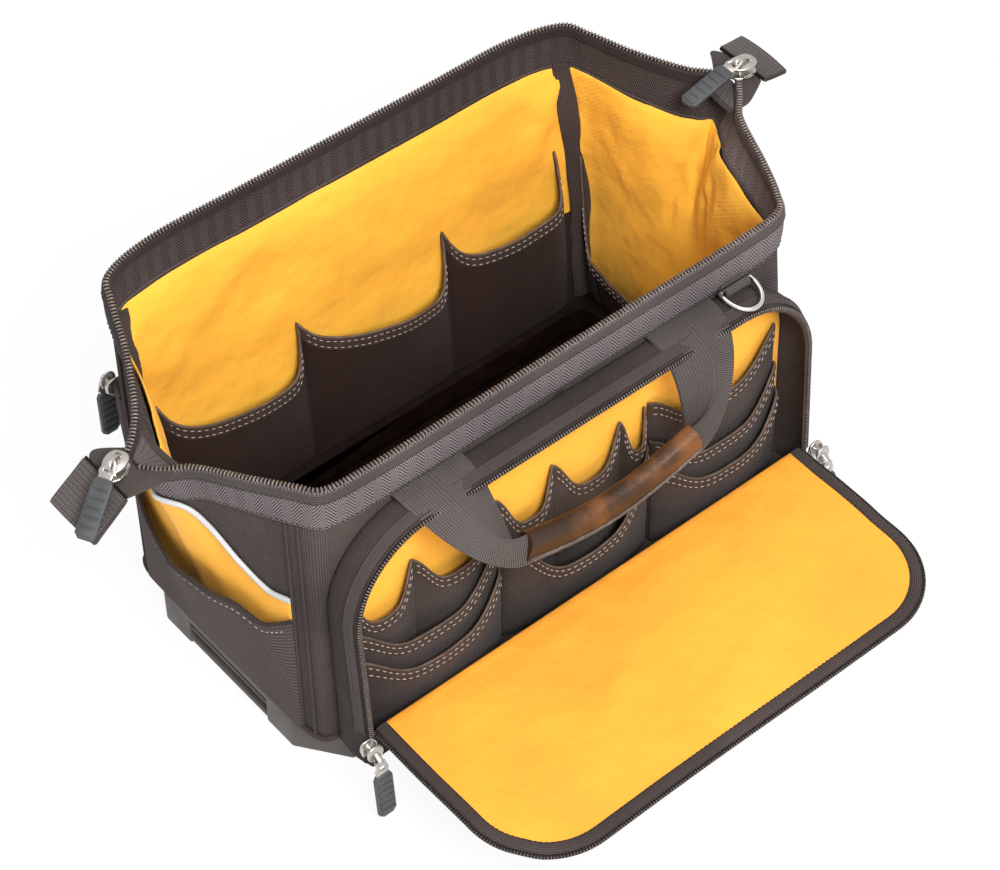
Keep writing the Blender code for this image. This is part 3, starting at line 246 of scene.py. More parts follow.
class MeshKit:
    """Make the closed meshes that the bag's pieces are built from."""

    @staticmethod
    def link(name: str, data: bpy.types.ID) -> bpy.types.Object:
        """Put an object with the given data in the scene.

        Args:
            name: the object's name.
            data: its mesh or curve.

        Returns:
            The object.
        """
        item = bpy.data.objects.new(name, data)
        bpy.context.scene.collection.objects.link(item)
        return item

    @staticmethod
    def soften(mesh: bpy.types.Mesh, angle: float = SHARP_ANGLE) -> None:
        """Shade a mesh smooth, with corners over an angle kept sharp."""
        mesh.shade_smooth()
        mesh.set_sharp_from_angle(angle=angle)

    @classmethod
    def close(cls, name: str, work: bmesh.types.BMesh, smooth: bool = True) -> bpy.types.Object:
        """Turn a bmesh into an object with outward faces, and free it.

        Args:
            name: the object's name.
            work: the bmesh, which is freed.
            smooth: whether its round faces are shaded smooth.

        Returns:
            The object.
        """
        bmesh.ops.recalc_face_normals(work, faces=work.faces)
        mesh = bpy.data.meshes.new(name)
        work.to_mesh(mesh)
        work.free()
        if smooth:
            cls.soften(mesh)
        return cls.link(name, mesh)

    @classmethod
    def make(cls, name: str, vertices: Sequence[Vector], faces: Sequence[Sequence[int]],
             weave: Sequence[Pair] | None = None, smooth: bool = True) -> bpy.types.Object:
        """Make one mesh object with outward faces and, if given, a weave map.

        Args:
            name: the object's name.
            vertices: its points.
            faces: its faces, as indices of the points.
            weave: the place of each point in the cloth, in metres.
            smooth: whether its faces are shaded smooth, with sharp corners kept.

        Returns:
            The new object.
        """
        mesh = bpy.data.meshes.new(name)
        mesh.from_pydata([tuple(vertex) for vertex in vertices], [], [tuple(face) for face in faces])
        work = bmesh.new()
        work.from_mesh(mesh)
        bmesh.ops.recalc_face_normals(work, faces=work.faces)
        work.to_mesh(mesh)
        work.free()
        if weave is not None:
            layer = mesh.uv_layers.new(name=WEAVE_MAP)
            for loop in mesh.loops:
                layer.data[loop.index].uv = weave[loop.vertex_index]
        if smooth:
            cls.soften(mesh)
        return cls.link(name, mesh)

    @classmethod
    def join(cls, name: str, items: Sequence[bpy.types.Object]) -> bpy.types.Object:
        """Join mesh objects at the origin into one.

        Args:
            name: the joined object's name.
            items: the mesh objects, which are used up.

        Returns:
            The joined object.
        """
        work = bmesh.new()
        mesh = bpy.data.meshes.new(name)
        for item in items:
            work.from_mesh(item.data)
        work.to_mesh(mesh)
        work.free()
        for item in items:
            old = item.data
            bpy.data.objects.remove(item, do_unlink=True)
            bpy.data.meshes.remove(old)
        return cls.link(name, mesh)

    @staticmethod
    def normals(grid: Grid, closed: bool) -> Grid:
        """Return the unit normal at each point of a grid.

        Args:
            grid: rows of points.
            closed: whether each row closes on itself.

        Returns:
            A grid of unit normals.
        """
        rows = len(grid)
        columns = len(grid[0])
        result = []
        for row in range(rows):
            line = []
            for column in range(columns):
                after = (column + 1) % columns if closed else min(column + 1, columns - 1)
                before = column - 1 if closed else max(column - 1, 0)
                along = grid[row][after] - grid[row][before]
                rise = grid[min(row + 1, rows - 1)][column] - grid[max(row - 1, 0)][column]
                line.append(along.cross(rise).normalized())
            result.append(line)
        return result

    @staticmethod
    def weave_places(grid: Grid, closed: bool) -> tuple[list[float], list[float]]:
        """Return the mean distances of a grid's columns and rows from its first corner, in metres.

        Args:
            grid: rows of points.
            closed: whether each row closes on itself.

        Returns:
            A distance for each column, and one for each row.
        """
        rows = len(grid)
        columns = len(grid[0])
        across = [0.0]
        for column in range(columns if closed else columns - 1):
            total = sum((row[(column + 1) % columns] - row[column]).length for row in grid)
            across.append(across[-1] + total / rows)
        up = [0.0]
        for row in range(rows - 1):
            total = sum((grid[row + 1][column] - grid[row][column]).length for column in range(columns))
            up.append(up[-1] + total / columns)
        return across, up

    @staticmethod
    def borders(rows: int, columns: int, closed: bool) -> list[list[tuple[int, int]]]:
        """Return the open edges of a grid, each as a loop of rows and columns.

        Args:
            rows: the number of rows.
            columns: the number of columns.
            closed: whether each row closes on itself.

        Returns:
            The loops, one or two.
        """
        if closed:
            return [[(row, column) for column in range(columns)] for row in (0, rows - 1)]
        loop = [(0, column) for column in range(columns)]
        loop += [(row, columns - 1) for row in range(1, rows)]
        loop += [(rows - 1, column) for column in range(columns - 2, -1, -1)]
        return [loop + [(row, 0) for row in range(rows - 2, 0, -1)]]

    @classmethod
    def cloth(cls, name: str, grid: Grid, thickness: float, closed: bool = False) -> bpy.types.Object:
        """Give a grid of points a cloth's thickness, with rounded edges and a weave map.

        Args:
            name: the object's name.
            grid: rows of points on the cloth's middle, of equal length.
            thickness: the cloth's thickness.
            closed: whether each row joins its end to its start.

        Returns:
            The new object.
        """
        rows = len(grid)
        columns = len(grid[0])
        normals = cls.normals(grid, closed)
        across, up = cls.weave_places(grid, closed)
        half = thickness / 2
        spots = [(row, column) for row in range(rows) for column in range(columns)]
        vertices = [grid[row][column] + normals[row][column] * side
                    for side in (half, -half) for row, column in spots]
        weave = [(across[column], up[row]) for row, column in spots] * 2
        back = rows * columns
        faces: list[tuple[int, ...]] = []
        for row in range(rows - 1):
            for column in range(columns if closed else columns - 1):
                after = (column + 1) % columns
                quad = (row * columns + column, row * columns + after,
                        (row + 1) * columns + after, (row + 1) * columns + column)
                faces.append(quad)
                faces.append(tuple(back + index for index in reversed(quad)))
        for loop in cls.borders(rows, columns, closed):
            first = len(vertices)
            for row, column in loop:
                away = Vector((0, 0, 0))
                if row in (0, rows - 1):
                    away += (grid[row][column] - grid[1 if row == 0 else rows - 2][column]).normalized()
                if not closed and column in (0, columns - 1):
                    away += (grid[row][column] - grid[row][1 if column == 0 else columns - 2]).normalized()
                vertices.append(grid[row][column] + away.normalized() * half)
                weave.append((across[column], up[row]))
            for place, (row, column) in enumerate(loop):
                following = (place + 1) % len(loop)
                here = row * columns + column
                there = loop[following][0] * columns + loop[following][1]
                faces.append((there, here, first + place, first + following))
                faces.append((back + here, back + there, first + following, first + place))
        return cls.make(name, vertices, faces, weave)

    @classmethod
    def rod(cls, name: str, path: Sequence[Vector], section: Sequence[Pair],
            upward: Vector | Sequence[Vector] = UP, closed: bool = False) -> bpy.types.Object:
        """Carry a section along a path; its first axis lies across the path, its second near upward.

        Args:
            name: the object's name.
            path: the points to follow.
            section: (across, up) points round the path.
            upward: one direction, or one for each point.
            closed: whether the path joins its end to its start.

        Returns:
            The new object, with ends closed unless the path is.
        """
        total = len(path)
        count = len(section)
        vertices: list[Vector] = []
        weave: list[Pair] = []
        girth = [0.0]
        for first, second in zip(section, list(section[1:]) + [section[0]]):
            girth.append(girth[-1] + math.dist(first, second))
        run = 0.0
        for place, point in enumerate(path):
            after = path[(place + 1) % total] if closed else path[min(place + 1, total - 1)]
            before = path[place - 1] if closed else path[max(place - 1, 0)]
            tangent = (after - before).normalized()
            rise = upward if isinstance(upward, Vector) else upward[place]
            side = tangent.cross(rise).normalized()
            rise = side.cross(tangent).normalized()
            if place:
                run += (point - path[place - 1]).length
            for index, (across, up) in enumerate(section):
                vertices.append(point + side * across + rise * up)
                weave.append((run, girth[index]))
        faces: list[tuple[int, ...]] = []
        for ring in range(total if closed else total - 1):
            here, there = ring * count, (ring + 1) % total * count
            for index in range(count):
                beside = (index + 1) % count
                faces.append((here + index, here + beside, there + beside, there + index))
        if not closed:
            faces.append(tuple(range(count)))
            faces.append(tuple(len(vertices) - 1 - index for index in range(count)))
        return cls.make(name, vertices, faces, weave)

    @staticmethod
    def ring(width: float, height: float, sides: int = 10, square: float = 1.0) -> list[Pair]:
        """Return a rounded section; square below 1 makes it boxier.

        Args:
            width: the section's width.
            height: its height.
            sides: how many points it has.
            square: its roundness, 1 for an ellipse.

        Returns:
            The section's points.
        """
        points = []
        for step in range(sides):
            angle = 2.0 * math.pi * (step + 0.5) / sides
            points.append((powered(math.cos(angle), square) * width / 2,
                           powered(math.sin(angle), square) * height / 2))
        return points

    @classmethod
    def block(cls, name: str, low: Vector, high: Vector, bevel: float, place: Matrix,
              taper: float = 1.0) -> bpy.types.Object:
        """Make a box with rounded edges, its X end tapered, set in place by a matrix.

        Args:
            name: the object's name.
            low: the lowest corner.
            high: the highest corner.
            bevel: the edges' radius.
            place: the matrix that sets the box in place.
            taper: how wide the far X end is, as a share.

        Returns:
            The new object.
        """
        work = bmesh.new()
        bmesh.ops.create_cube(work, size=1.0)
        size = high - low
        middle = (low + high) / 2
        for vertex in work.verts:
            share = taper if vertex.co.x > 0 else 1.0
            x, y, z = vertex.co
            vertex.co = Vector((x * size.x, y * size.y * share, z * size.z)) + middle
        cls.round_edges(work, list(work.edges), bevel)
        work.transform(place)
        return cls.close(name, work)

    @staticmethod
    def round_edges(work: bmesh.types.BMesh, edges: list[bmesh.types.BMEdge], radius: float) -> None:
        """Round some edges of a bmesh."""
        bmesh.ops.bevel(work, geom=edges, offset=radius, segments=2, profile=0.5, affect="EDGES",
                        clamp_overlap=True)

    @classmethod
    def plate(cls, outline: Sequence[Pair], low: float, high: float, place: Matrix,
              bevel: float) -> bpy.types.Object:
        """Make a flat plate from an outline, its edges rounded, set in place by a matrix.

        Args:
            outline: the (x, y) points round the plate.
            low: the plate's lower face.
            high: its upper face.
            place: the matrix that sets it in place.
            bevel: its edges' radius.

        Returns:
            The new object.
        """
        work = bmesh.new()
        base = work.faces.new([work.verts.new((x, y, low)) for x, y in outline])
        grown = bmesh.ops.extrude_face_region(work, geom=[base])
        lifted = [part for part in grown["geom"] if isinstance(part, bmesh.types.BMVert)]
        bmesh.ops.translate(work, vec=Vector((0, 0, high - low)), verts=lifted)
        flat = [edge for edge in work.edges if abs(edge.verts[0].co.z - edge.verts[1].co.z) < LEVEL_LIMIT]
        cls.round_edges(work, flat, bevel)
        work.transform(place)
        return cls.close("plate", work)

    @classmethod
    def from_node(cls, name: str, node: str) -> bpy.types.Object:
        """Copy a CAD node's mesh, merged and with its flat faces made whole again.

        Args:
            name: the copy's name.
            node: the CAD node's name.

        Returns:
            The copy.
        """
        work = bmesh.new()
        work.from_mesh(frame["nodes"][node].data)
        bmesh.ops.remove_doubles(work, verts=work.verts, dist=MERGE_DISTANCE)
        bmesh.ops.dissolve_limit(work, angle_limit=FLAT_ANGLE, verts=work.verts, edges=work.edges)
        return cls.close(name, work, smooth=False)


def plain_mesh(item: bpy.types.Object) -> bpy.types.Object:
    """Turn an object with modifiers into a plain mesh.

    Args:
        item: the object with its modifiers.

    Returns:
        The object with the finished mesh.
    """
    evaluated = item.evaluated_get(bpy.context.evaluated_depsgraph_get())
    mesh = bpy.data.meshes.new_from_object(evaluated)
    item.modifiers.clear()
    old = item.data
    item.data = mesh
    bpy.data.meshes.remove(old)
    return item


# Shader and geometry node helpers

class NodeBuilder:
    """Add and join nodes in one tree."""

    def __init__(self, tree: bpy.types.NodeTree) -> None:
        """Work in the given tree."""
        self.tree = tree

    def fill(self, node: bpy.types.Node, feeds: dict[str | int, object]) -> None:
        """Feed a node's inputs, by name or number, with values or sockets.

        Args:
            node: the node to feed.
            feeds: a value or a socket for each input.
        """
        for key, value in feeds.items():
            if isinstance(value, bpy.types.NodeSocket):
                self.tree.links.new(value, node.inputs[key])
            else:
                node.inputs[key].default_value = value

    def add(self, kind: str, feeds: dict[str | int, object] | None = None,
            **settings: object) -> bpy.types.Node:
        """Add a node, set its options, and feed its inputs.

        Args:
            kind: the node's type.
            feeds: input name or number to a value or a socket.
            settings: the node's options.

        Returns:
            The new node.
        """
        node = self.tree.nodes.new(kind)
        for key, value in settings.items():
            setattr(node, key, value)
        self.fill(node, feeds or {})
        return node

    def math(self, operation: str, first: object, second: object = 0.5,
             hold: bool = False) -> bpy.types.NodeSocket:
        """Add a Math node and return its result."""
        return self.add("ShaderNodeMath", {0: first, 1: second}, operation=operation,
                        use_clamp=hold).outputs[0]

    def blend(self, factor: object, first: object, second: object, kind: str = "MIX") -> bpy.types.NodeSocket:
        """Add a colour Mix node and return its result.

        Args:
            factor: the share of the second colour.
            first: the first colour.
            second: the second colour.
            kind: the way of mixing.

        Returns:
            The socket of the mixed colour.
        """
        feeds = {0: factor, 6: first, 7: second}
        feeds = {key: (*value, 1.0) if isinstance(value, tuple) else value for key, value in feeds.items()}
        return self.add("ShaderNodeMix", feeds, data_type="RGBA", blend_type=kind,
                        clamp_factor=True).outputs[2]

    def span(self, value: object, low: float, high: float, to_low: float = 0.0,
             to_high: float = 1.0) -> bpy.types.NodeSocket:
        """Add a clamped Map Range node and return its result."""
        feeds = {0: value, 1: low, 2: high, 3: to_low, 4: to_high}
        return self.add("ShaderNodeMapRange", feeds, interpolation_type="SMOOTHSTEP").outputs[0]


def new_material(name: str) -> tuple[bpy.types.Material, NodeBuilder, bpy.types.Node]:
    """Start a material; return it with its node builder and its shader.

    Args:
        name: the material's name.

    Returns:
        The material, its node builder and its shader.
    """
    made = bpy.data.materials.new(name)
    made.use_nodes = True
    return made, NodeBuilder(made.node_tree), made.node_tree.nodes["Principled BSDF"]


class Weave(Enum):
    """How a cloth's threads cross."""

    PLAIN = "plain_weave"
    RIB = "rib_weave"
    HERRINGBONE = "herringbone_weave"
    WEBBING = "webbing_weave"


class ShaderGroups:
    """The shader node groups that the finishes share, each built once."""

    def __init__(self) -> None:
        """Build every group."""
        self.weaves = {weave: self._weave(weave) for weave in Weave}
        self.fibre = self._fibre()
        self.grain = self._grain()

    @staticmethod
    def _start(name: str, inputs: dict[str, float],
               outputs: Sequence[str]) -> tuple[NodeBuilder, Sockets, Sockets]:
        """Start a group that takes a place and some numbers, and gives numbers.

        Args:
            name: the group's name.
            inputs: each number's name and usual value.
            outputs: the results' names.

        Returns:
            The group's builder, its inputs and its outputs.
        """
        tree = bpy.data.node_groups.new(name, "ShaderNodeTree")
        face = tree.interface
        face.new_socket(name="Place", in_out="INPUT", socket_type="NodeSocketVector")
        for label, usual in inputs.items():
            face.new_socket(name=label, in_out="INPUT", socket_type="NodeSocketFloat").default_value = usual
        for label in outputs:
            face.new_socket(name=label, in_out="OUTPUT", socket_type="NodeSocketFloat")
        build = NodeBuilder(tree)
        return build, build.add("NodeGroupInput").outputs, build.add("NodeGroupOutput").inputs

    def _weave(self, weave: Weave) -> bpy.types.NodeTree:
        """Build one weave: a thread height from 0 to 1 and a mask of the threads' crowns.

        Args:
            weave: the kind of weave.

        Returns:
            The node group.
        """
        inputs = {"Pitch": 0.002, "Cross Pitch": 0.002, "Unevenness": 0.1}
        build, given, result = self._start(weave.value, inputs, ("Height", "Crown"))
        drift = build.add("ShaderNodeTexNoise", {"Vector": given["Place"], "Scale": 55.0, "Detail": 1.0})
        shift = build.math("MULTIPLY", build.math("SUBTRACT", drift.outputs[0], 0.5), given["Unevenness"])
        across, rise, _ = build.add("ShaderNodeSeparateXYZ", {0: given["Place"]}).outputs
        along = build.math("ADD", build.math("DIVIDE", across, given["Pitch"]), shift)
        up = build.math("ADD", build.math("DIVIDE", rise, given["Cross Pitch"]), shift)
        crown_along = self._crown(build, along)
        crown_up = self._crown(build, up)
        if weave is Weave.PLAIN:
            parity = build.math("ADD", build.math("FLOOR", along), build.math("FLOOR", up))
            parity = build.math("PINGPONG", parity, 1.0)
            over = build.math("MULTIPLY", crown_along, parity)
            under = build.math("MULTIPLY", crown_up, build.math("SUBTRACT", 1.0, parity))
            height = build.math("ADD", over, under)
        elif weave is Weave.RIB:
            fine = build.math("MULTIPLY", crown_along, 0.2)
            height = build.math("ADD", build.math("MULTIPLY", crown_up, 0.8), fine)
        elif weave is Weave.HERRINGBONE:
            zigzag = build.math("PINGPONG", across, given["Cross Pitch"])
            slant = build.math("ADD", build.math("MULTIPLY", zigzag, 1.5), rise)
            height = self._crown(build, build.math("ADD", build.math("DIVIDE", slant, given["Pitch"]), shift))
        else:
            grooves = build.math("ADD", 0.55, build.math("MULTIPLY", crown_up, 0.45))
            height = build.math("MULTIPLY", crown_along, grooves)
        build.tree.links.new(height, result["Height"])
        build.tree.links.new(build.math("POWER", height, 1.8), result["Crown"])
        return build.tree

    @staticmethod
    def _crown(build: NodeBuilder, value: bpy.types.NodeSocket) -> bpy.types.NodeSocket:
        """Return the height of a round thread across each whole step."""
        return build.math("ABSOLUTE", build.math("SINE", build.math("MULTIPLY", value, math.pi)))

    def _fibre(self) -> bpy.types.NodeTree:
        """Build the soft variation of cloth: broad shade, fine lint and slack creases.

        Returns:
            The node group.
        """
        inputs = {"Broad Size": 0.09, "Lint Size": 0.0016, "Crease Size": 0.035}
        build, given, result = self._start("cloth_fibre", inputs, ("Shade", "Lint", "Crease"))
        for label, size, detail in (("Shade", "Broad Size", 3.0), ("Lint", "Lint Size", 2.0),
                                    ("Crease", "Crease Size", 2.5)):
            scale = build.math("DIVIDE", 1.0, given[size])
            cloud = build.add("ShaderNodeTexNoise",
                              {"Vector": given["Place"], "Scale": scale, "Detail": detail})
            build.tree.links.new(build.span(cloud.outputs[0], 0.25, 0.75), result[label])
        return build.tree

    def _grain(self) -> bpy.types.NodeTree:
        """Build the pebbled grain of moulded plastic, rubber and coated leather, with two-colour patches.

        Most patches are worn spots; on the coil teeth they are painted glints, and on the leather
        they are partly a painted orange reflection.

        Returns:
            The node group.
        """
        inputs = {"Grain Size": 0.0012, "Patch Size": 0.02}
        build, given, result = self._start("surface_grain", inputs, ("Height", "Wear And Highlight"))
        scale = build.math("DIVIDE", 1.0, given["Grain Size"])
        feeds = {"Vector": given["Place"], "Scale": scale}
        cells = build.add("ShaderNodeTexVoronoi", feeds, feature="SMOOTH_F1")
        scale = build.math("DIVIDE", 1.0, given["Patch Size"])
        wear_and_highlight = build.add("ShaderNodeTexNoise", {"Vector": given["Place"], "Scale": scale, "Detail": 4.0})
        build.tree.links.new(build.span(cells.outputs[0], 0.0, 0.7, 1.0, 0.0), result["Height"])
        build.tree.links.new(build.span(wear_and_highlight.outputs[0], 0.42, 0.72), result["Wear And Highlight"])
        return build.tree


@dataclass(frozen=True)
class ClothFinish:
    """A woven cloth: its threads, colours, nap and the record's slot it belongs to."""

    name: str
    slot: str
    colour: Colour
    crown_colour: Colour
    weave: Weave
    pitch: float
    cross_pitch: float
    depth: float = 0.0003
    roughness: float = 0.85
    sheen: float = 0.05
    specular: float = 0.15
    crown_share: float = 0.8
    lint_share: float = 0.12
    lint_roughness: float = 0.10
    shade_share: float = 0.16
    crease_depth: float = 0.0010
    crease_strength: float = 0.6
    unevenness: float = 0.15

    def build(self, groups: ShaderGroups) -> bpy.types.Material:
        """Return the cloth's material.

        Args:
            groups: the node groups that finishes share.

        Returns:
            The material.
        """
        made, build, shader = new_material(self.name)
        place = build.add("ShaderNodeUVMap", uv_map=WEAVE_MAP).outputs[0]
        feeds = {"Place": place, "Pitch": self.pitch, "Cross Pitch": self.cross_pitch,
                 "Unevenness": self.unevenness}
        threads = build.add("ShaderNodeGroup", feeds, node_tree=groups.weaves[self.weave]).outputs
        place = build.add("ShaderNodeTexCoord").outputs["Object"]
        fibre = build.add("ShaderNodeGroup", {"Place": place}, node_tree=groups.fibre).outputs
        crown = build.math("MULTIPLY", threads["Crown"], self.crown_share)
        crown = build.math("ADD", crown, build.math("MULTIPLY", fibre["Lint"], self.lint_share), hold=True)
        colour = build.blend(crown, self.colour, self.crown_colour)
        tint = build.blend(fibre["Shade"], (1.0 - 2.0 * self.shade_share,) * 3, (1.0, 1.0, 1.0))
        lint = build.math("MULTIPLY", fibre["Lint"], self.lint_roughness)
        fine = build.add("ShaderNodeBump", {"Height": threads["Height"], "Distance": self.depth,
                                            "Strength": 1.0})
        broad = build.add("ShaderNodeBump", {"Height": fibre["Crease"], "Distance": self.crease_depth,
                                             "Strength": self.crease_strength, "Normal": fine.outputs[0]})
        build.fill(shader, {
            "Base Color": build.blend(1.0, colour, tint, "MULTIPLY"),
            "Roughness": build.math("ADD", lint, self.roughness - self.lint_roughness / 2),
            "Sheen Weight": self.sheen,
            "Sheen Roughness": 0.5,
            "Specular IOR Level": self.specular,
            "Normal": broad.outputs[0],
        })
        return made


@dataclass(frozen=True)
class HardFinish:
    """Moulded plastic, rubber, leather, thread or metal, with grain, worn patches and painted highlights."""

    name: str
    slot: str
    colour: Colour
    wear_and_highlight_colour: Colour
    roughness: float
    metallic: float = 0.0
    grain_size: float = 0.0012
    grain_depth: float = 0.00015
    grain_strength: float = 0.8
    wear_and_highlight_size: float = 0.02
    wear_and_highlight_share: float = 0.5
    wear_roughness: float = 0.14
    smoothing: float = 0.05
    specular: float = 0.4

    def build(self, groups: ShaderGroups) -> bpy.types.Material:
        """Return the surface's material.

        Args:
            groups: the node groups that finishes share.

        Returns:
            The material.
        """
        made, build, shader = new_material(self.name)
        place = build.add("ShaderNodeTexCoord").outputs["Object"]
        feeds = {"Place": place, "Grain Size": self.grain_size, "Patch Size": self.wear_and_highlight_size}
        grain = build.add("ShaderNodeGroup", feeds, node_tree=groups.grain).outputs
        # Patch colour: worn spots, and on the coil teeth and the leather painted highlights.
        wear_and_highlight = build.math("MULTIPLY", grain["Wear And Highlight"], self.wear_and_highlight_share)
        rough = build.math("MULTIPLY", grain["Wear And Highlight"], self.wear_roughness)
        bump = build.add("ShaderNodeBump", {"Height": grain["Height"], "Distance": self.grain_depth,
                                            "Strength": self.grain_strength})
        build.fill(shader, {
            "Base Color": build.blend(wear_and_highlight, self.colour, self.wear_and_highlight_colour),
            "Roughness": build.math("ADD", rough, self.roughness - self.smoothing),
            "Metallic": self.metallic,
            "Specular IOR Level": self.specular,
            "Normal": bump.outputs[0],
        })
        return made


BLACK: Colour = (0.020, 0.0135, 0.0120)
BLACK_CROWN: Colour = (0.135, 0.098, 0.088)
YELLOW: Colour = (0.93, 0.44, 0.040)
YELLOW_CROWN: Colour = (1.00, 0.52, 0.060)


class Finish(Enum):
    """Every finish on the bag."""

    WALL = ClothFinish("black_wall_cloth", "wall_cloth", BLACK, BLACK_CROWN, Weave.PLAIN, 0.0016, 0.0016,
                       0.00045, shade_share=0.24)
    # Darker than the wall cloth: partly its own colour and partly painted shade of the front strip by the
    # arch.
    STRIP = ClothFinish("black_gusset_cloth", "gusset_cloth", (0.012, 0.0080, 0.0068), (0.105, 0.076, 0.068),
                        Weave.PLAIN, 0.0014, 0.0014, 0.0004, shade_share=0.28)
    # The light crown colour is partly the herringbone's pattern and partly painted sheen where the fibres
    # catch the light.
    BAND = ClothFinish("herringbone_band", "mouth_band", (0.022, 0.017, 0.0165), (0.30, 0.245, 0.250),
                       Weave.HERRINGBONE, 0.0032, 0.0070, 0.00070)
    BAND_STRIP = ClothFinish("smooth_band_strip", "mouth_band", (0.022, 0.017, 0.0165), (0.125, 0.100, 0.097),
                             Weave.RIB, 0.0012, 0.0014, 0.00015)
    REAR_STRIP = ClothFinish("dark_band_strip", "mouth_band", (0.014, 0.0100, 0.0090), (0.060, 0.043, 0.039),
                             Weave.RIB, 0.0012, 0.0014, 0.00015)
    REAR_BAND = ClothFinish("dark_herringbone_band", "mouth_band", (0.015, 0.0110, 0.0100),
                            (0.110, 0.080, 0.074), Weave.HERRINGBONE, 0.0030, 0.0066, 0.00060)
    SIDE = ClothFinish("ribbed_pocket_cloth", "side_pocket_cloth", BLACK, (0.130, 0.096, 0.089), Weave.RIB,
                       0.0014, 0.0030, 0.0006)
    LINING = ClothFinish("yellow_lining", "lining", YELLOW, YELLOW_CROWN, Weave.PLAIN, 0.0018, 0.0018,
                         0.00012, roughness=0.62, sheen=0.05, crease_depth=0.0026, shade_share=0.07)
    BACKING = ClothFinish("yellow_ribbed_backing", "side_backing", (0.92, 0.41, 0.040), (1.0, 0.50, 0.060),
                          Weave.RIB, 0.0016, 0.0024, 0.00030, roughness=0.62, sheen=0.05, shade_share=0.04)
    # Darker and more orange than the body's lining, which paints in the shade of the flap's folds.
    FLAP_LINING = ClothFinish("yellow_flap_lining", "flap_lining", (0.83, 0.322, 0.028), (0.95, 0.400, 0.050),
                              Weave.RIB, 0.0016, 0.0022, 0.00014, roughness=0.62, sheen=0.03,
                              crease_depth=0.0022, shade_share=0.07)
    POUCH = ClothFinish("black_pouch_cloth", "pouch_cloth", (0.0095, 0.0070, 0.0062), (0.105, 0.080, 0.072),
                        Weave.PLAIN, 0.0015, 0.0015, 0.00030, roughness=0.7, crease_depth=0.0022,
                        shade_share=0.28)
    HEM_CLOTH = ClothFinish("brown_hem_cloth", "pouch_cloth", (0.017, 0.0105, 0.0080), (0.085, 0.056, 0.043),
                            Weave.PLAIN, 0.0012, 0.0012, 0.0002, roughness=0.7)
    INNER = ClothFinish("brown_black_cloth", "pouch_cloth", (0.013, 0.0070, 0.0055), (0.042, 0.022, 0.017),
                        Weave.PLAIN, 0.0014, 0.0014, 0.00022, roughness=0.7, specular=0.10,
                        crease_depth=0.0016)
    WEBBING = ClothFinish("black_webbing", "webbing", (0.030, 0.025, 0.023), (0.165, 0.137, 0.127),
                          Weave.WEBBING, 0.0014, 0.0021, 0.0003, roughness=0.7)
    TAB = ClothFinish("coarse_webbing", "webbing", (0.042, 0.035, 0.033), (0.180, 0.152, 0.143),
                      Weave.WEBBING, 0.0018, 0.0032, 0.0005, roughness=0.7)
    HOOD = ClothFinish("smooth_black_cloth", "hood_cloth", (0.026, 0.020, 0.018), (0.105, 0.082, 0.075),
                       Weave.PLAIN, 0.0011, 0.0011, 0.00015, roughness=0.75)
    TAPE = ClothFinish("black_tape", "flap_cloth", BLACK, (0.095, 0.072, 0.066), Weave.RIB, 0.0014, 0.0016,
                       0.0002)
    # The light colour and the lighter patches are painted glints on the dark brown coil.
    TEETH = HardFinish("coil_teeth", "zip_chain", (0.135, 0.105, 0.090), (0.30, 0.245, 0.215), 0.38, 0.25,
                       grain_depth=0.00003, wear_and_highlight_size=0.006)
    COIL = HardFinish("coil_tape", "zip_chain", (0.009, 0.0068, 0.0060), (0.020, 0.015, 0.013), 0.7,
                      specular=0.15)
    METAL = HardFinish("nickel_plate", "zip_metal", (0.62, 0.585, 0.545), (0.46, 0.43, 0.40), 0.36, 1.0,
                       grain_depth=0.00002, wear_and_highlight_size=0.006)
    RING = HardFinish("ring_steel", "ring_metal", (0.78, 0.75, 0.71), (0.62, 0.59, 0.55), 0.22, 1.0,
                      grain_depth=0.00002, wear_and_highlight_size=0.008)
    RUBBER = HardFinish("grey_rubber", "pull_rubber", (0.050, 0.053, 0.056), (0.085, 0.088, 0.090), 0.55,
                        grain_size=0.0007, grain_depth=0.00006)
    # The orange patches are partly worn leather and partly a painted orange reflection of the yellow lining.
    LEATHER = HardFinish("brown_black_leather", "grip_leather", (0.030, 0.013, 0.006), (0.195, 0.068, 0.014),
                         0.50, grain_size=0.0016, grain_depth=0.00022, wear_and_highlight_size=0.035, wear_and_highlight_share=0.8)
    EDGE = HardFinish("cut_leather_edge", "grip_leather", (0.090, 0.070, 0.058), (0.24, 0.20, 0.175), 0.55,
                      wear_and_highlight_size=0.006)
    MOULDED = HardFinish("moulded_plastic", "moulded_base", (0.068, 0.054, 0.048), (0.105, 0.086, 0.077), 0.5,
                         grain_size=0.0010, grain_depth=0.00012, wear_and_highlight_size=0.03)
    BOARD = HardFinish("floor_board_face", "floor_board", (0.0095, 0.0050, 0.0040), (0.022, 0.013, 0.010),
                       0.6, specular=0.12)
    PIPING = HardFinish("light_grey_piping", "side_backing", (0.50, 0.50, 0.51), (0.62, 0.62, 0.63), 0.45)
    HEM = HardFinish("tan_hem_edge", "pouch_cloth", (0.085, 0.056, 0.040), (0.20, 0.140, 0.100), 0.7,
                     wear_and_highlight_size=0.008)
    THREAD = HardFinish("light_thread", "pouch_cloth", (0.36, 0.32, 0.29), (0.52, 0.47, 0.43), 0.6,
                        wear_and_highlight_size=0.006)
    DARK_THREAD = HardFinish("dark_thread", "wall_cloth", (0.012, 0.0095, 0.0090), (0.060, 0.050, 0.047), 0.6)
    TAG = ClothFinish("black_tag", "pouch_cloth", (0.010, 0.0085, 0.0080), (0.040, 0.036, 0.034), Weave.PLAIN,
                      0.0009, 0.0009, 0.0001, roughness=0.5)


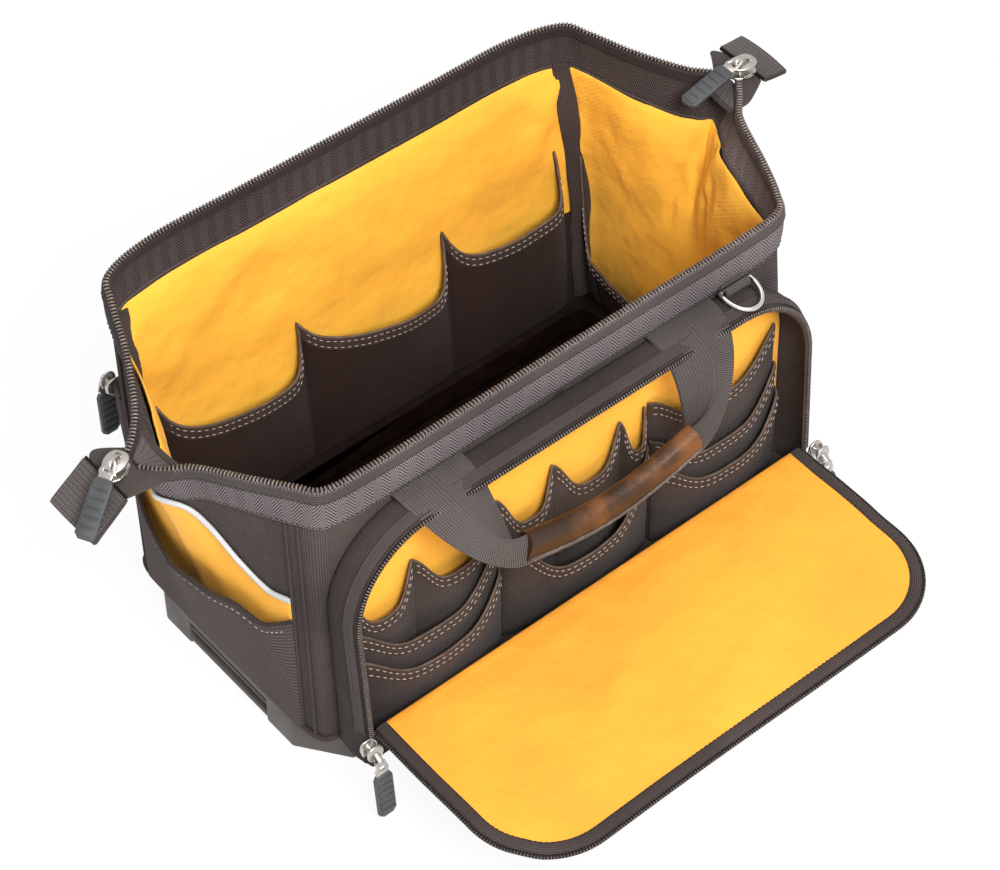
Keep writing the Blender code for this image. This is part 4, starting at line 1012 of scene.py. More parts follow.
@dataclass(frozen=True)
class Stitch:
    """One kind of stitching: its thread and the size of a stitch."""

    finish: Finish
    length: float
    gap: float
    width: float = 0.0009
    flatness: float = 0.7


@dataclass(frozen=True)
class Coil:
    """One size of coil zip: a tooth's length, width and height, and the pitch."""

    size: tuple[float, float, float]
    pitch: float


BAND_STITCH = Stitch(Finish.DARK_THREAD, 0.0028, 0.0010)
POUCH_STITCH = Stitch(Finish.THREAD, 0.0042, 0.0011)
INNER_STITCH = Stitch(Finish.THREAD, 0.0042, 0.0012)
SIDE_STITCH = Stitch(Finish.THREAD, 0.0036, 0.0016, 0.0010)
FLAP_STITCH = Stitch(Finish.DARK_THREAD, 0.0026, 0.0012, 0.0008)
MOUTH_COIL = Coil((0.0019, 0.0056, 0.0026), 0.0027)
ARCH_COIL = Coil((0.0013, 0.0044, 0.0030), 0.0022)
FLAP_COIL = Coil((0.0013, 0.0044, 0.0032), 0.0022)
REAR_COIL = Coil((0.0014, 0.0046, 0.0014), 0.0024)


class ShapeRepeater:
    """A Geometry Nodes tree that sets one small rounded shape on every marked point."""

    def __init__(self) -> None:
        """Build the tree."""
        self.tree = bpy.data.node_groups.new("repeated_shape", "GeometryNodeTree")
        face = self.tree.interface
        for label, kind in (("Geometry", "Geometry"), ("Length", "Float"), ("Width", "Float"),
                            ("Height", "Float"), ("Segments", "Int"), ("Rings", "Int"),
                            ("Material", "Material")):
            face.new_socket(name=label, in_out="INPUT", socket_type="NodeSocket" + kind)
        face.new_socket(name="Geometry", in_out="OUTPUT", socket_type="NodeSocketGeometry")
        build = NodeBuilder(self.tree)
        given = build.add("NodeGroupInput").outputs
        feeds = {"Segments": given["Segments"], "Rings": given["Rings"], "Radius": 0.5}
        ball = build.add("GeometryNodeMeshUVSphere", feeds)
        size = build.add("ShaderNodeCombineXYZ", {0: given["Length"], 1: given["Width"], 2: given["Height"]})
        shape = build.add("GeometryNodeTransform", {"Geometry": ball.outputs[0], "Scale": size.outputs[0]})
        smooth = build.add("GeometryNodeSetShadeSmooth", {"Geometry": shape.outputs[0]})
        turn = build.add("GeometryNodeInputNamedAttribute", {"Name": "turn"}, data_type="FLOAT_VECTOR")
        rotation = build.add("FunctionNodeEulerToRotation", {0: turn.outputs[0]})
        feeds = {"Points": given["Geometry"], "Instance": smooth.outputs[0], "Rotation": rotation.outputs[0]}
        spread = build.add("GeometryNodeInstanceOnPoints", feeds)
        real = build.add("GeometryNodeRealizeInstances", {0: spread.outputs[0]})
        feeds = {"Geometry": real.outputs[0], "Material": given["Material"]}
        painted = build.add("GeometryNodeSetMaterial", feeds)
        self.tree.links.new(painted.outputs[0], build.add("NodeGroupOutput").inputs[0])

    def place(self, name: str, spots: Sequence[Spot], size: tuple[float, float, float],
              material: bpy.types.Material, segments: int, rings: int) -> bpy.types.Object:
        """Set the shape on every spot and return the result as one plain mesh.

        Args:
            name: the object's name.
            spots: each shape's place and rotation.
            size: the shape's length, width and height.
            material: its material.
            segments: faces round the shape.
            rings: faces from pole to pole.

        Returns:
            The new object.
        """
        mesh = bpy.data.meshes.new(name)
        mesh.from_pydata([tuple(point) for point, _ in spots], [], [])
        turns = mesh.attributes.new("turn", "FLOAT_VECTOR", "POINT")
        for index, (_, turn) in enumerate(spots):
            turns.data[index].vector = tuple(turn.to_euler())
        item = MeshKit.link(name, mesh)
        modifier = item.modifiers.new("repeat", "NODES")
        modifier.node_group = self.tree
        values = {"Length": size[0], "Width": size[1], "Height": size[2],
                  "Segments": segments, "Rings": rings, "Material": material}
        for socket in self.tree.interface.items_tree:
            if socket.item_type == "SOCKET" and socket.in_out == "INPUT" and socket.name in values:
                modifier[socket.identifier] = values[socket.name]
        bpy.context.view_layer.update()
        return plain_mesh(item)


class Workshop:
    """Hold what every sub-assembly needs: finishes, the repeater and a count of the pieces."""

    def __init__(self) -> None:
        """Build the shared groups and trees."""
        self.groups = ShaderGroups()
        self.repeater = ShapeRepeater()
        self.made: dict[Finish, bpy.types.Material] = {}
        self.count = 0

    def material(self, finish: Finish) -> bpy.types.Material:
        """Return a finish's material, built at its first use.

        Args:
            finish: the finish.

        Returns:
            The material.
        """
        if finish not in self.made:
            self.made[finish] = finish.value.build(self.groups)
        return self.made[finish]

    def add(self, item: bpy.types.Object, finish: Finish, *nodes: str, body: str = "bag") -> None:
        """Dress a piece, fix it to a body and let it stand for CAD nodes.

        Args:
            item: the piece.
            finish: its finish.
            nodes: the CAD nodes that it stands for.
            body: the body it moves with.
        """
        item.data.materials.clear()
        item.data.materials.append(self.material(finish))
        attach(item, body)
        if nodes:
            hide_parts(*nodes)
        self.count += 1
        logger.info("piece %s: %d faces on %s", item.name, len(item.data.polygons), body)

    def cloth(self, name: str, grid: Grid, thickness: float, finish: Finish, *nodes: str, body: str = "bag",
              closed: bool = False, turn: bool = False) -> None:
        """Make a sheet of cloth from a grid of points and add it.

        Args:
            name: the piece's name.
            grid: rows of points on the cloth's middle.
            thickness: the cloth's thickness.
            finish: its finish.
            nodes: the CAD nodes that it stands for.
            body: the body it moves with.
            closed: whether each row joins its end to its start.
            turn: whether its weave is turned a quarter.
        """
        item = MeshKit.cloth(name, grid, thickness, closed)
        if turn:
            for place in item.data.uv_layers[WEAVE_MAP].data:
                place.uv = (place.uv[1], place.uv[0])
        self.add(item, finish, *nodes, body=body)

    def rod(self, name: str, path: Sequence[Vector], section: Sequence[Pair], finish: Finish, *nodes: str,
            body: str = "bag", upward: Vector | Sequence[Vector] = UP, closed: bool = False) -> None:
        """Carry a section along a path and add the result.

        Args:
            name: the piece's name.
            path: the points to follow.
            section: (across, up) points round the path.
            finish: its finish.
            nodes: the CAD nodes that it stands for.
            body: the body it moves with.
            upward: one direction, or one for each point.
            closed: whether the path joins its end to its start.
        """
        self.add(MeshKit.rod(name, path, section, upward, closed), finish, *nodes, body=body)

    def repeat(self, name: str, spots: Sequence[Spot], size: tuple[float, float, float], finish: Finish,
               body: str = "bag", segments: int = 6, rings: int = 4) -> None:
        """Set small rounded shapes on spots and add them as one piece."""
        item = self.repeater.place(name, spots, size, self.material(finish), segments, rings)
        self.add(item, finish, body=body)

    def stitches(self, name: str, rows: Iterable[Strand], stitch: Stitch, body: str = "bag") -> None:
        """Sew rows of stitches, each given as its path and the cloth's normals along it.

        Args:
            name: the object's name.
            rows: the path and the normals of each row.
            stitch: the sizes of its stitches.
            body: the body that carries them.
        """
        spots: list[Spot] = []
        for path, normals in rows:
            spots += spots_along(path, normals, stitch.length + stitch.gap)
        size = (stitch.length, stitch.width, stitch.width * stitch.flatness)
        self.repeat(name, spots, size, stitch.finish, body, segments=5, rings=3)

    def teeth(self, name: str, path: Sequence[Vector], normals: Sequence[Vector], coil: Coil,
              body: str = "bag") -> None:
        """Set coil teeth across a path."""
        self.repeat(name, spots_along(path, normals, coil.pitch), coil.size, Finish.TEETH, body)


def spots_along(path: Sequence[Vector], normals: Sequence[Vector], pitch: float) -> list[Spot]:
    """Return evenly spaced places along a path, each turned along it with the normal up.

    Args:
        path: the points to follow.
        normals: the upward direction at each point.
        pitch: the distance between places.

    Returns:
        Pairs of a place and a rotation.
    """
    lengths = distances(path)
    count = max(2, int(lengths[-1] / pitch))
    spots = []
    for at, share in stations(lengths, spaced(pitch / 2, lengths[-1] - pitch / 2, count)):
        normal = normals[at].lerp(normals[at + 1], share)
        spots.append((path[at].lerp(path[at + 1], share), turned(path[at + 1] - path[at], normal)))
    return spots


@dataclass
class Patch:
    """A curved patch of cloth, given by a function of two shares from 0 to 1."""

    point: Surface
    facing: Vector | None = None
    step: float = 0.004

    def normal(self, across: float, up: float) -> Vector:
        """Return the unit normal, on the facing side if one is given.

        Args:
            across: the share across.
            up: the share up.

        Returns:
            The unit normal.
        """
        low_a, high_a = clamp(across - self.step), clamp(across + self.step)
        low_u, high_u = clamp(up - self.step), clamp(up + self.step)
        along = self.point(high_a, up) - self.point(low_a, up)
        rise = self.point(across, high_u) - self.point(across, low_u)
        normal = along.cross(rise).normalized()
        if self.facing is not None and normal.dot(self.facing) < 0:
            return -normal
        return normal

    def grid(self, columns: Sequence[float], rows: Sequence[float]) -> Grid:
        """Return the patch's points at the given shares."""
        return [[self.point(across, up) for across in columns] for up in rows]

    def line(self, places: Iterable[Pair], lift: float) -> tuple[list[Vector], list[Vector]]:
        """Return a line of points just off the patch, and their normals.

        Args:
            places: the shares across and up of each point.
            lift: how far off the patch the line lies.

        Returns:
            The points and their normals.
        """
        normals = []
        path = []
        for across, up in places:
            normal = self.normal(across, up)
            normals.append(normal)
            path.append(self.point(across, up) + normal * lift)
        return path, normals


# The body's shape, which the walls, bands and pockets share

@dataclass(frozen=True)
class BodyShape:
    """The sewn body from the tray to the mouth, as one closed outline at three heights."""

    half_length: float = 0.218
    half_depth: float = 0.110
    mouth_half_length: float = 0.2095
    mouth_front: float = 0.104
    mouth_rear: float = 0.138
    tail_reach: float = 0.061
    tail_skew: float = 0.005
    floor: float = 0.0354
    rim_front: float = 0.277
    rim_left_tail: float = 0.2585
    rim_right_tail: float = 0.281
    rim_rear: float = 0.297
    band_depth: float = 0.036
    spread_power: float = 1.6
    tail_share: float = 0.75
    wall: float = 0.0025
    lining: float = 0.0015
    band: float = 0.0036
    slack: float = 0.0011
    shares: tuple[tuple[float, ...], ...] = (
        (0.00, -1.000, 0.000, 0.00, -1.000), (0.37, -1.000, 0.380, 0.00, -1.000),
        (0.76, -1.000, 0.770, 0.00, -1.000), (0.935, -0.985, 0.940, 0.00, -0.970),
        (0.99, -0.900, 1.000, 0.00, -0.835), (1.00, -0.550, 1.000, 0.24, -0.565),
        (1.00, -0.260, 1.000, 0.53, -0.180), (1.00, -0.055, 1.000, 0.78, -0.028),
        (1.00, 0.070, 1.000, 1.00, 0.109), (1.00, 0.200, 1.000, 0.78, 0.194),
        (1.00, 0.360, 1.000, 0.54, 0.310), (1.00, 0.640, 1.000, 0.22, 0.565),
        (0.99, 0.900, 1.000, 0.00, 0.800), (0.935, 0.985, 0.945, 0.00, 0.930),
        (0.76, 1.000, 0.740, 0.00, 1.000), (0.37, 1.000, 0.380, 0.00, 1.000),
        (0.00, 1.000, 0.000, 0.00, 1.000),
    )
    rear_centre: int = 16
    count: int = 32
    front_seam: int = 4
    tail: int = 8
    rear_seam: int = 12
    chain_stop: float = 0.40

    def controls(self, place: int) -> tuple[Vector, Vector, Vector]:
        """Return the base, wall-top and rim points at a whole place round the body.

        Args:
            place: the number of the place.

        Returns:
            The three points.
        """
        place %= self.count
        side = 1.0 if place <= self.rear_centre else -1.0
        base_x, base_y, mouth_x, tail, mouth_y = self.shares[min(place, self.count - place)]
        depth = self.mouth_rear if mouth_y > 0 else self.mouth_front
        tail_height = self.rim_right_tail if side > 0 else self.rim_left_tail
        if mouth_y < 0:
            height = mix(tail_height, self.rim_front, min(1.0, -1.3 * mouth_y))
        else:
            height = mix(tail_height, self.rim_rear, min(1.0, 1.05 * mouth_y))
        base = Vector((side * base_x * self.half_length, base_y * self.half_depth, self.floor))
        mouth = mouth_x * self.mouth_half_length
        y = mouth_y * depth + side * tail * self.tail_skew
        wall_top = Vector((side * (mouth + tail * self.tail_reach * self.tail_share), y,
                           height - self.band_depth))
        rim = Vector((side * (mouth + tail * self.tail_reach), y, height))
        return base, wall_top, rim

    @lru_cache(maxsize=20000)
    def levels(self, place: float) -> tuple[Vector, Vector, Vector]:
        """Return the base, wall-top and rim points at any place round the body.

        Args:
            place: the place, whole or between two.

        Returns:
            The three points.
        """
        whole = math.floor(place)
        stacks = [self.controls(index) for index in around(whole)]
        base, wall_top, rim = (through(*points, place - whole) for points in zip(*stacks))
        return base, wall_top, rim

    def from_seam(self, place: float) -> float:
        """Return how far round the body a place lies from the nearest corner seam of its half."""
        return min(abs(place % self.rear_centre - seam) for seam in (self.front_seam, self.rear_seam))

    def bare(self, place: float, level: float) -> Vector:
        """Return a point of the outside: level 0 base, 1 wall top, 2 rim.

        Args:
            place: the place round the body.
            level: the level, 0 to 2.

        Returns:
            The point.
        """
        base, wall_top, rim = self.levels(place)
        if level <= 1.0:
            point = base.lerp(wall_top, max(level, 0.0) ** self.spread_power)
            point.z = mix(base.z, wall_top.z, level)
            return point
        return wall_top.lerp(rim, level - 1.0)

    def outward(self, place: float, level: float) -> Vector:
        """Return the level direction that points out of the body."""
        along = self.bare(place + 0.05, level) - self.bare(place - 0.05, level)
        return Vector((along.y, -along.x, 0)).normalized()

    def droop(self, place: float, level: float) -> float:
        """Return how far the slack cloth stands out of its plain shape.

        Args:
            place: the place round the body.
            level: the level, 0 to 2.

        Returns:
            The distance.
        """
        if level >= 1.0 or level <= 0.0:
            return 0.0
        held = math.sin(math.pi * level) ** 0.7 * ease(self.from_seam(place) / 1.5)
        return held * self.slack * (ripple(place * 0.8, level * 1.7, 3.0) * 1.3 - 0.5)

    def point(self, place: float, level: float, distance: float) -> Vector:
        """Return a point of the slack body, moved out by a distance."""
        return self.bare(place, level) + self.outward(place, level) * (distance + self.droop(place, level))

    def at_height(self, place: float, height: float, distance: float) -> Vector:
        """Return a point of the slack wall at a height, moved out by a distance."""
        base, wall_top, _ = self.levels(place)
        return self.point(place, (height - base.z) / (wall_top.z - base.z), distance)

    def band_at_height(self, place: float, height: float, distance: float) -> Vector:
        """Return a point of the mouth band at a height, moved out by a distance."""
        _, wall_top, rim = self.levels(place)
        return self.point(place, 1.0 + (height - wall_top.z) / (rim.z - wall_top.z), distance)


@dataclass
class Studio:
    """The camera, lamps, world and pale floor."""

    camera_place: tuple[float, float, float] = (-0.880, -1.080, 1.6245)
    turn: float = math.radians(-40.2)
    rise: float = math.radians(47.5)
    lens: float = 103.3
    sensor: float = 36.0
    clip: Pair = (0.05, 50.0)
    lamps: tuple[tuple[str, tuple[float, float, float], float, float], ...] = (
        ("key_lamp", (-0.55, -1.55, 2.00), 72.0, 0.8),
        ("fill_lamp", (0.35, 0.25, 2.5), 12.0, 1.6),
    )
    lamp_target: tuple[float, float, float] = (0.0, 0.0, 0.15)
    world_level: float = 0.70
    floor_half: float = 6.0
    floor_drop: float = 0.0004
    floor_grey: float = 0.84
    floor_roughness: float = 0.9
    floor_white: float = 0.93

    def clear(self) -> None:
        """Remove the default cube, light and camera, unless they belong to the frame."""
        kept = set(frame["nodes"].values()) | set(frame["bodies"].values())
        for item in list(bpy.data.objects):
            if item.name in ("Cube", "Light", "Camera") and item not in kept:
                bpy.data.objects.remove(item, do_unlink=True)

    def build(self) -> None:
        """Set up the camera, lamps, world and floor."""
        self._camera()
        for name, place, power, size in self.lamps:
            self._lamp(name, Vector(place), power, size)
        self._world()
        self._floor()
        bpy.context.scene.view_settings.view_transform = "Standard"

    def _camera(self) -> None:
        """Add the camera at the photograph's viewing angle."""
        data = bpy.data.cameras.new("camera")
        data.lens = self.lens
        data.sensor_width = self.sensor
        data.clip_start, data.clip_end = self.clip
        camera = MeshKit.link("camera", data)
        right = Vector((math.cos(self.turn), math.sin(self.turn), 0))
        level = math.cos(self.rise)
        back = Vector((math.sin(self.turn) * level, -math.cos(self.turn) * level, math.sin(self.rise)))
        turn = Matrix((right, back.cross(right), back)).transposed().to_4x4()
        camera.matrix_world = Matrix.Translation(Vector(self.camera_place)) @ turn
        bpy.context.scene.camera = camera

    def _lamp(self, name: str, place: Vector, power: float, size: float) -> None:
        """Add a soft square lamp that faces the bag.

        Args:
            name: the lamp's name.
            place: where it hangs.
            power: its power in watts.
            size: the side of its square.
        """
        data = bpy.data.lights.new(name, "AREA")
        data.energy = power
        data.size = size
        lamp = MeshKit.link(name, data)
        lamp.location = place
        lamp.rotation_euler = (Vector(self.lamp_target) - place).to_track_quat("-Z", "Y").to_euler()

    def _world(self) -> None:
        """Give a plain white surround that lights softly and shows white."""
        world = bpy.context.scene.world or bpy.data.worlds.new("surround")
        bpy.context.scene.world = world
        world.use_nodes = True
        build = NodeBuilder(world.node_tree)
        world.node_tree.nodes.clear()
        rays = build.add("ShaderNodeLightPath")
        soft = build.add("ShaderNodeBackground", {"Color": WHITE, "Strength": self.world_level})
        white = build.add("ShaderNodeBackground", {"Color": WHITE, "Strength": 1.0})
        seen = build.math("MAXIMUM", rays.outputs["Is Camera Ray"], rays.outputs["Is Transmission Ray"])
        choice = build.add("ShaderNodeMixShader", {0: seen, 1: soft.outputs[0], 2: white.outputs[0]})
        result = build.add("ShaderNodeOutputWorld")
        world.node_tree.links.new(choice.outputs[0], result.inputs["Surface"])

    def _floor(self) -> None:
        """Lay the floor: white to the camera, with the bag's soft shadow kept."""
        half = self.floor_half
        corners = [Vector((x * half, y * half, -self.floor_drop))
                   for x, y in ((-1, -1), (1, -1), (1, 1), (-1, 1))]
        floor = MeshKit.make("studio_floor", corners, [(0, 1, 2, 3)], smooth=False)
        material, build, shader = new_material("pale_floor")
        build.fill(shader, {"Base Color": (self.floor_grey,) * 3 + (1.0,), "Roughness": self.floor_roughness})
        rays = build.add("ShaderNodeLightPath")
        glow = build.add("ShaderNodeEmission", {"Color": WHITE, "Strength": 1.0})
        seen = build.math("MAXIMUM", rays.outputs["Is Camera Ray"], rays.outputs["Is Glossy Ray"])
        seen = build.math("MAXIMUM", seen, rays.outputs["Is Transmission Ray"])
        share = build.math("MULTIPLY", seen, self.floor_white)
        choice = build.add("ShaderNodeMixShader", {0: share, 1: shader.outputs[0], 2: glow.outputs[0]})
        result = material.node_tree.nodes["Material Output"]
        material.node_tree.links.new(choice.outputs[0], result.inputs["Surface"])
        floor.data.materials.append(material)


@dataclass
class Walls:
    """The outer walls with their corner seams, and the yellow lining inside."""

    shop: Workshop
    shape: BodyShape
    columns: int = 288
    rows: int = 34
    foot: float = 0.004
    top: float = 0.9995
    lining_gap: float = 0.0004
    piping: float = 0.0015
    seam_spacing: float = 0.0065
    ribbon_shift: float = 0.95
    front_ribbon: float = 0.0095
    rear_ribbon: float = 0.0165
    ribbon_thickness: float = 0.0036
    ribbon_gap: float = 0.0014
    ribbon_wave: float = 0.0016
    fold_depth: float = 0.0065

    def build(self) -> None:
        """Build the walls, the lining and the seams."""
        shape = self.shape
        places = spaced(0.0, shape.count, self.columns + 1)[:-1]
        levels = spaced(self.foot, 1.0, self.rows)
        grid = [[shape.point(place, min(level, self.top), -shape.wall / 2) for place in places]
                for level in levels]
        self.shop.cloth("outer_walls", grid, shape.wall, Finish.WALL, "front_wall", "right_wall", "rear_wall",
                        "left_wall", closed=True)
        inside = -shape.wall - self.lining_gap - shape.lining / 2
        grid = [[shape.point(place, min(level, self.top), inside - self._fold(place, level))
                 for place in places]
                for level in levels]
        self.shop.cloth("yellow_inside", grid, shape.lining, Finish.LINING, "front_lining", "right_lining",
                        "rear_lining", "left_lining", closed=True)
        self._seams()
        self._ribbons()

    def _fold(self, place: float, level: float) -> float:
        """Return how far the lining's slack folds stand into the bag above the inner pockets.

        Args:
            place: the place round the body.
            level: the level, 0 to 2.

        Returns:
            The distance.
        """
        free = ease((level - 0.52) / 0.22) * ease(self.shape.from_seam(place) / 1.2)
        free *= 1.0 - 0.65 * ease((level - 0.92) / 0.08)
        free *= 0.25 + 0.75 * ease(abs(place % self.shape.rear_centre - self.shape.tail) / 1.4)
        ridge = max(0.0, 1.0 - 2.6 * abs(ripple(place * 0.75 + level * 2.2, level * 1.1, 71.0)))
        ridge += 0.6 * max(0.0, 1.0 - 3.0 * abs(ripple(place * 1.1 - level * 3.0, level * 1.6, 77.0)))
        broad = 0.5 + 0.5 * ripple(place * 0.6, level * 1.5, 73.0)
        return self.fold_depth * free * (ease(ridge) * 0.7 + broad * 0.3)

    def _seams(self) -> None:
        """Sew the double seam down each corner, outside."""
        shape = self.shape
        section = MeshKit.ring(2 * self.piping, 2 * self.piping, 8)
        pieces = []
        for seam, inner in ((shape.front_seam, 1), (shape.rear_seam, -1), (shape.count - shape.rear_seam, 1),
                            (shape.count - shape.front_seam, -1)):
            unit = (shape.bare(seam + 0.5, 1.0) - shape.bare(seam, 1.0)).length * 2.0
            for shift in (0.0, self.seam_spacing):
                place = seam + inner * shift / unit
                path = [shape.point(place, level, self.piping * 0.5) for level in spaced(0.01, 0.995, 40)]
                pieces.append(MeshKit.rod("seam", path, section, shape.outward(place, 0.5)))
        self.shop.add(MeshKit.join("corner_pipings", pieces), Finish.TAPE)

    def _ribbons(self) -> None:
        """Sew the dark wavy binding down each corner, inside."""
        shape = self.shape
        inside = -shape.wall - shape.lining - self.ribbon_gap
        pieces = []
        for seam, width in ((shape.front_seam, self.front_ribbon),
                            (shape.rear_seam + self.ribbon_shift, self.rear_ribbon)):
            section = MeshKit.ring(width, self.ribbon_thickness, 12, 0.8)
            for place in (seam, shape.count - seam):
                path = []
                for level in spaced(0.03, 1.04, 48):
                    sway = 0.05 * math.sin(level * 9.0) + 0.10 * ripple(level * 5.0, seam, 75.0)
                    depth = inside - self.ribbon_wave * (1.0 + math.sin(level * 17.0))
                    path.append(shape.point(place + sway, level, depth))
                pieces.append(MeshKit.rod("binding", path, section, shape.outward(place, 0.5)))
        self.shop.add(MeshKit.join("inner_corner_bindings", pieces), Finish.TAPE)


@dataclass
class Mouth:
    """The two herringbone bands round the mouth and their coil zip."""

    shop: Workshop
    shape: BodyShape
    chain: float = 0.0025
    columns: int = 200
    rows: int = 14
    bow: float = 0.0016
    strip: float = 0.0009
    strip_gap: float = 0.0004
    strip_low: float = 1.72
    low_stitch: float = 1.06
    tape: float = 0.0030
    tape_drop: float = 0.0008
    teeth_drop: float = 0.0001

    def build(self) -> None:
        """Build both halves."""
        stop = self.shape.tail - self.shape.chain_stop
        self._half("front", (-stop, stop), Finish.BAND, Finish.BAND_STRIP)
        rear = (self.shape.tail + self.shape.chain_stop,
                self.shape.count - self.shape.tail - self.shape.chain_stop)
        self._half("rear", rear, Finish.REAR_BAND, Finish.REAR_STRIP)

    def _point(self, place: float, level: float, lift: float = 0.0) -> Vector:
        """Return a point of the band, which bows out, moved out by a lift."""
        bulge = self.bow * max(0.0, math.sin(math.pi * (level - 1.0))) ** 0.8
        return self.shape.point(place, level, bulge + lift)

    def _half(self, name: str, ends: Pair, cloth: Finish, smooth: Finish) -> None:
        """Build one half of the mouth.

        Args:
            name: the half's name.
            ends: its first and last places round the body.
            cloth: the band's finish.
            smooth: the finish of its smooth strips.
        """
        shape = self.shape
        places = spaced(*ends, self.columns)
        top = 2.0 - (self.chain * 0.6) / shape.band_depth
        grid = [[self._point(place, level) for place in places] for level in spaced(1.0, top, self.rows)]
        self.shop.cloth(name + "_band", grid, shape.band, cloth, name + "_mouth_band")
        levels = spaced(self.strip_low, top - 0.02, 6)
        for side, label in ((1, "outer"), (-1, "inner")):
            lift = side * (shape.band / 2 + self.strip_gap)
            grid = [[self._point(place, level, lift) for place in places] for level in levels]
            self.shop.cloth(f"{name}_{label}_band_strip", grid, self.strip, smooth)
        path = [shape.bare(place, 2.0) - UP * self.teeth_drop for place in places]
        core = [point - UP * self.tape_drop for point in path]
        self.shop.rod(name + "_zip_tape", core, MeshKit.ring(self.tape, self.tape, 8), Finish.COIL,
                      name + "_mouth_chain")
        self.shop.teeth(name + "_zip_teeth", path, [UP] * len(path), MOUTH_COIL)
        rows = []
        high = self.strip_low + 0.03
        for level, side, above in ((high, 1, self.strip), (high, -1, self.strip),
                                   (self.low_stitch, 1, 0.0002)):
            line = [self._point(place, level, side * (shape.band / 2 + above)) for place in places]
            rows.append((line, [shape.outward(place, level) * side for place in places]))
        self.shop.stitches(name + "_band_stitches", rows, BAND_STITCH)


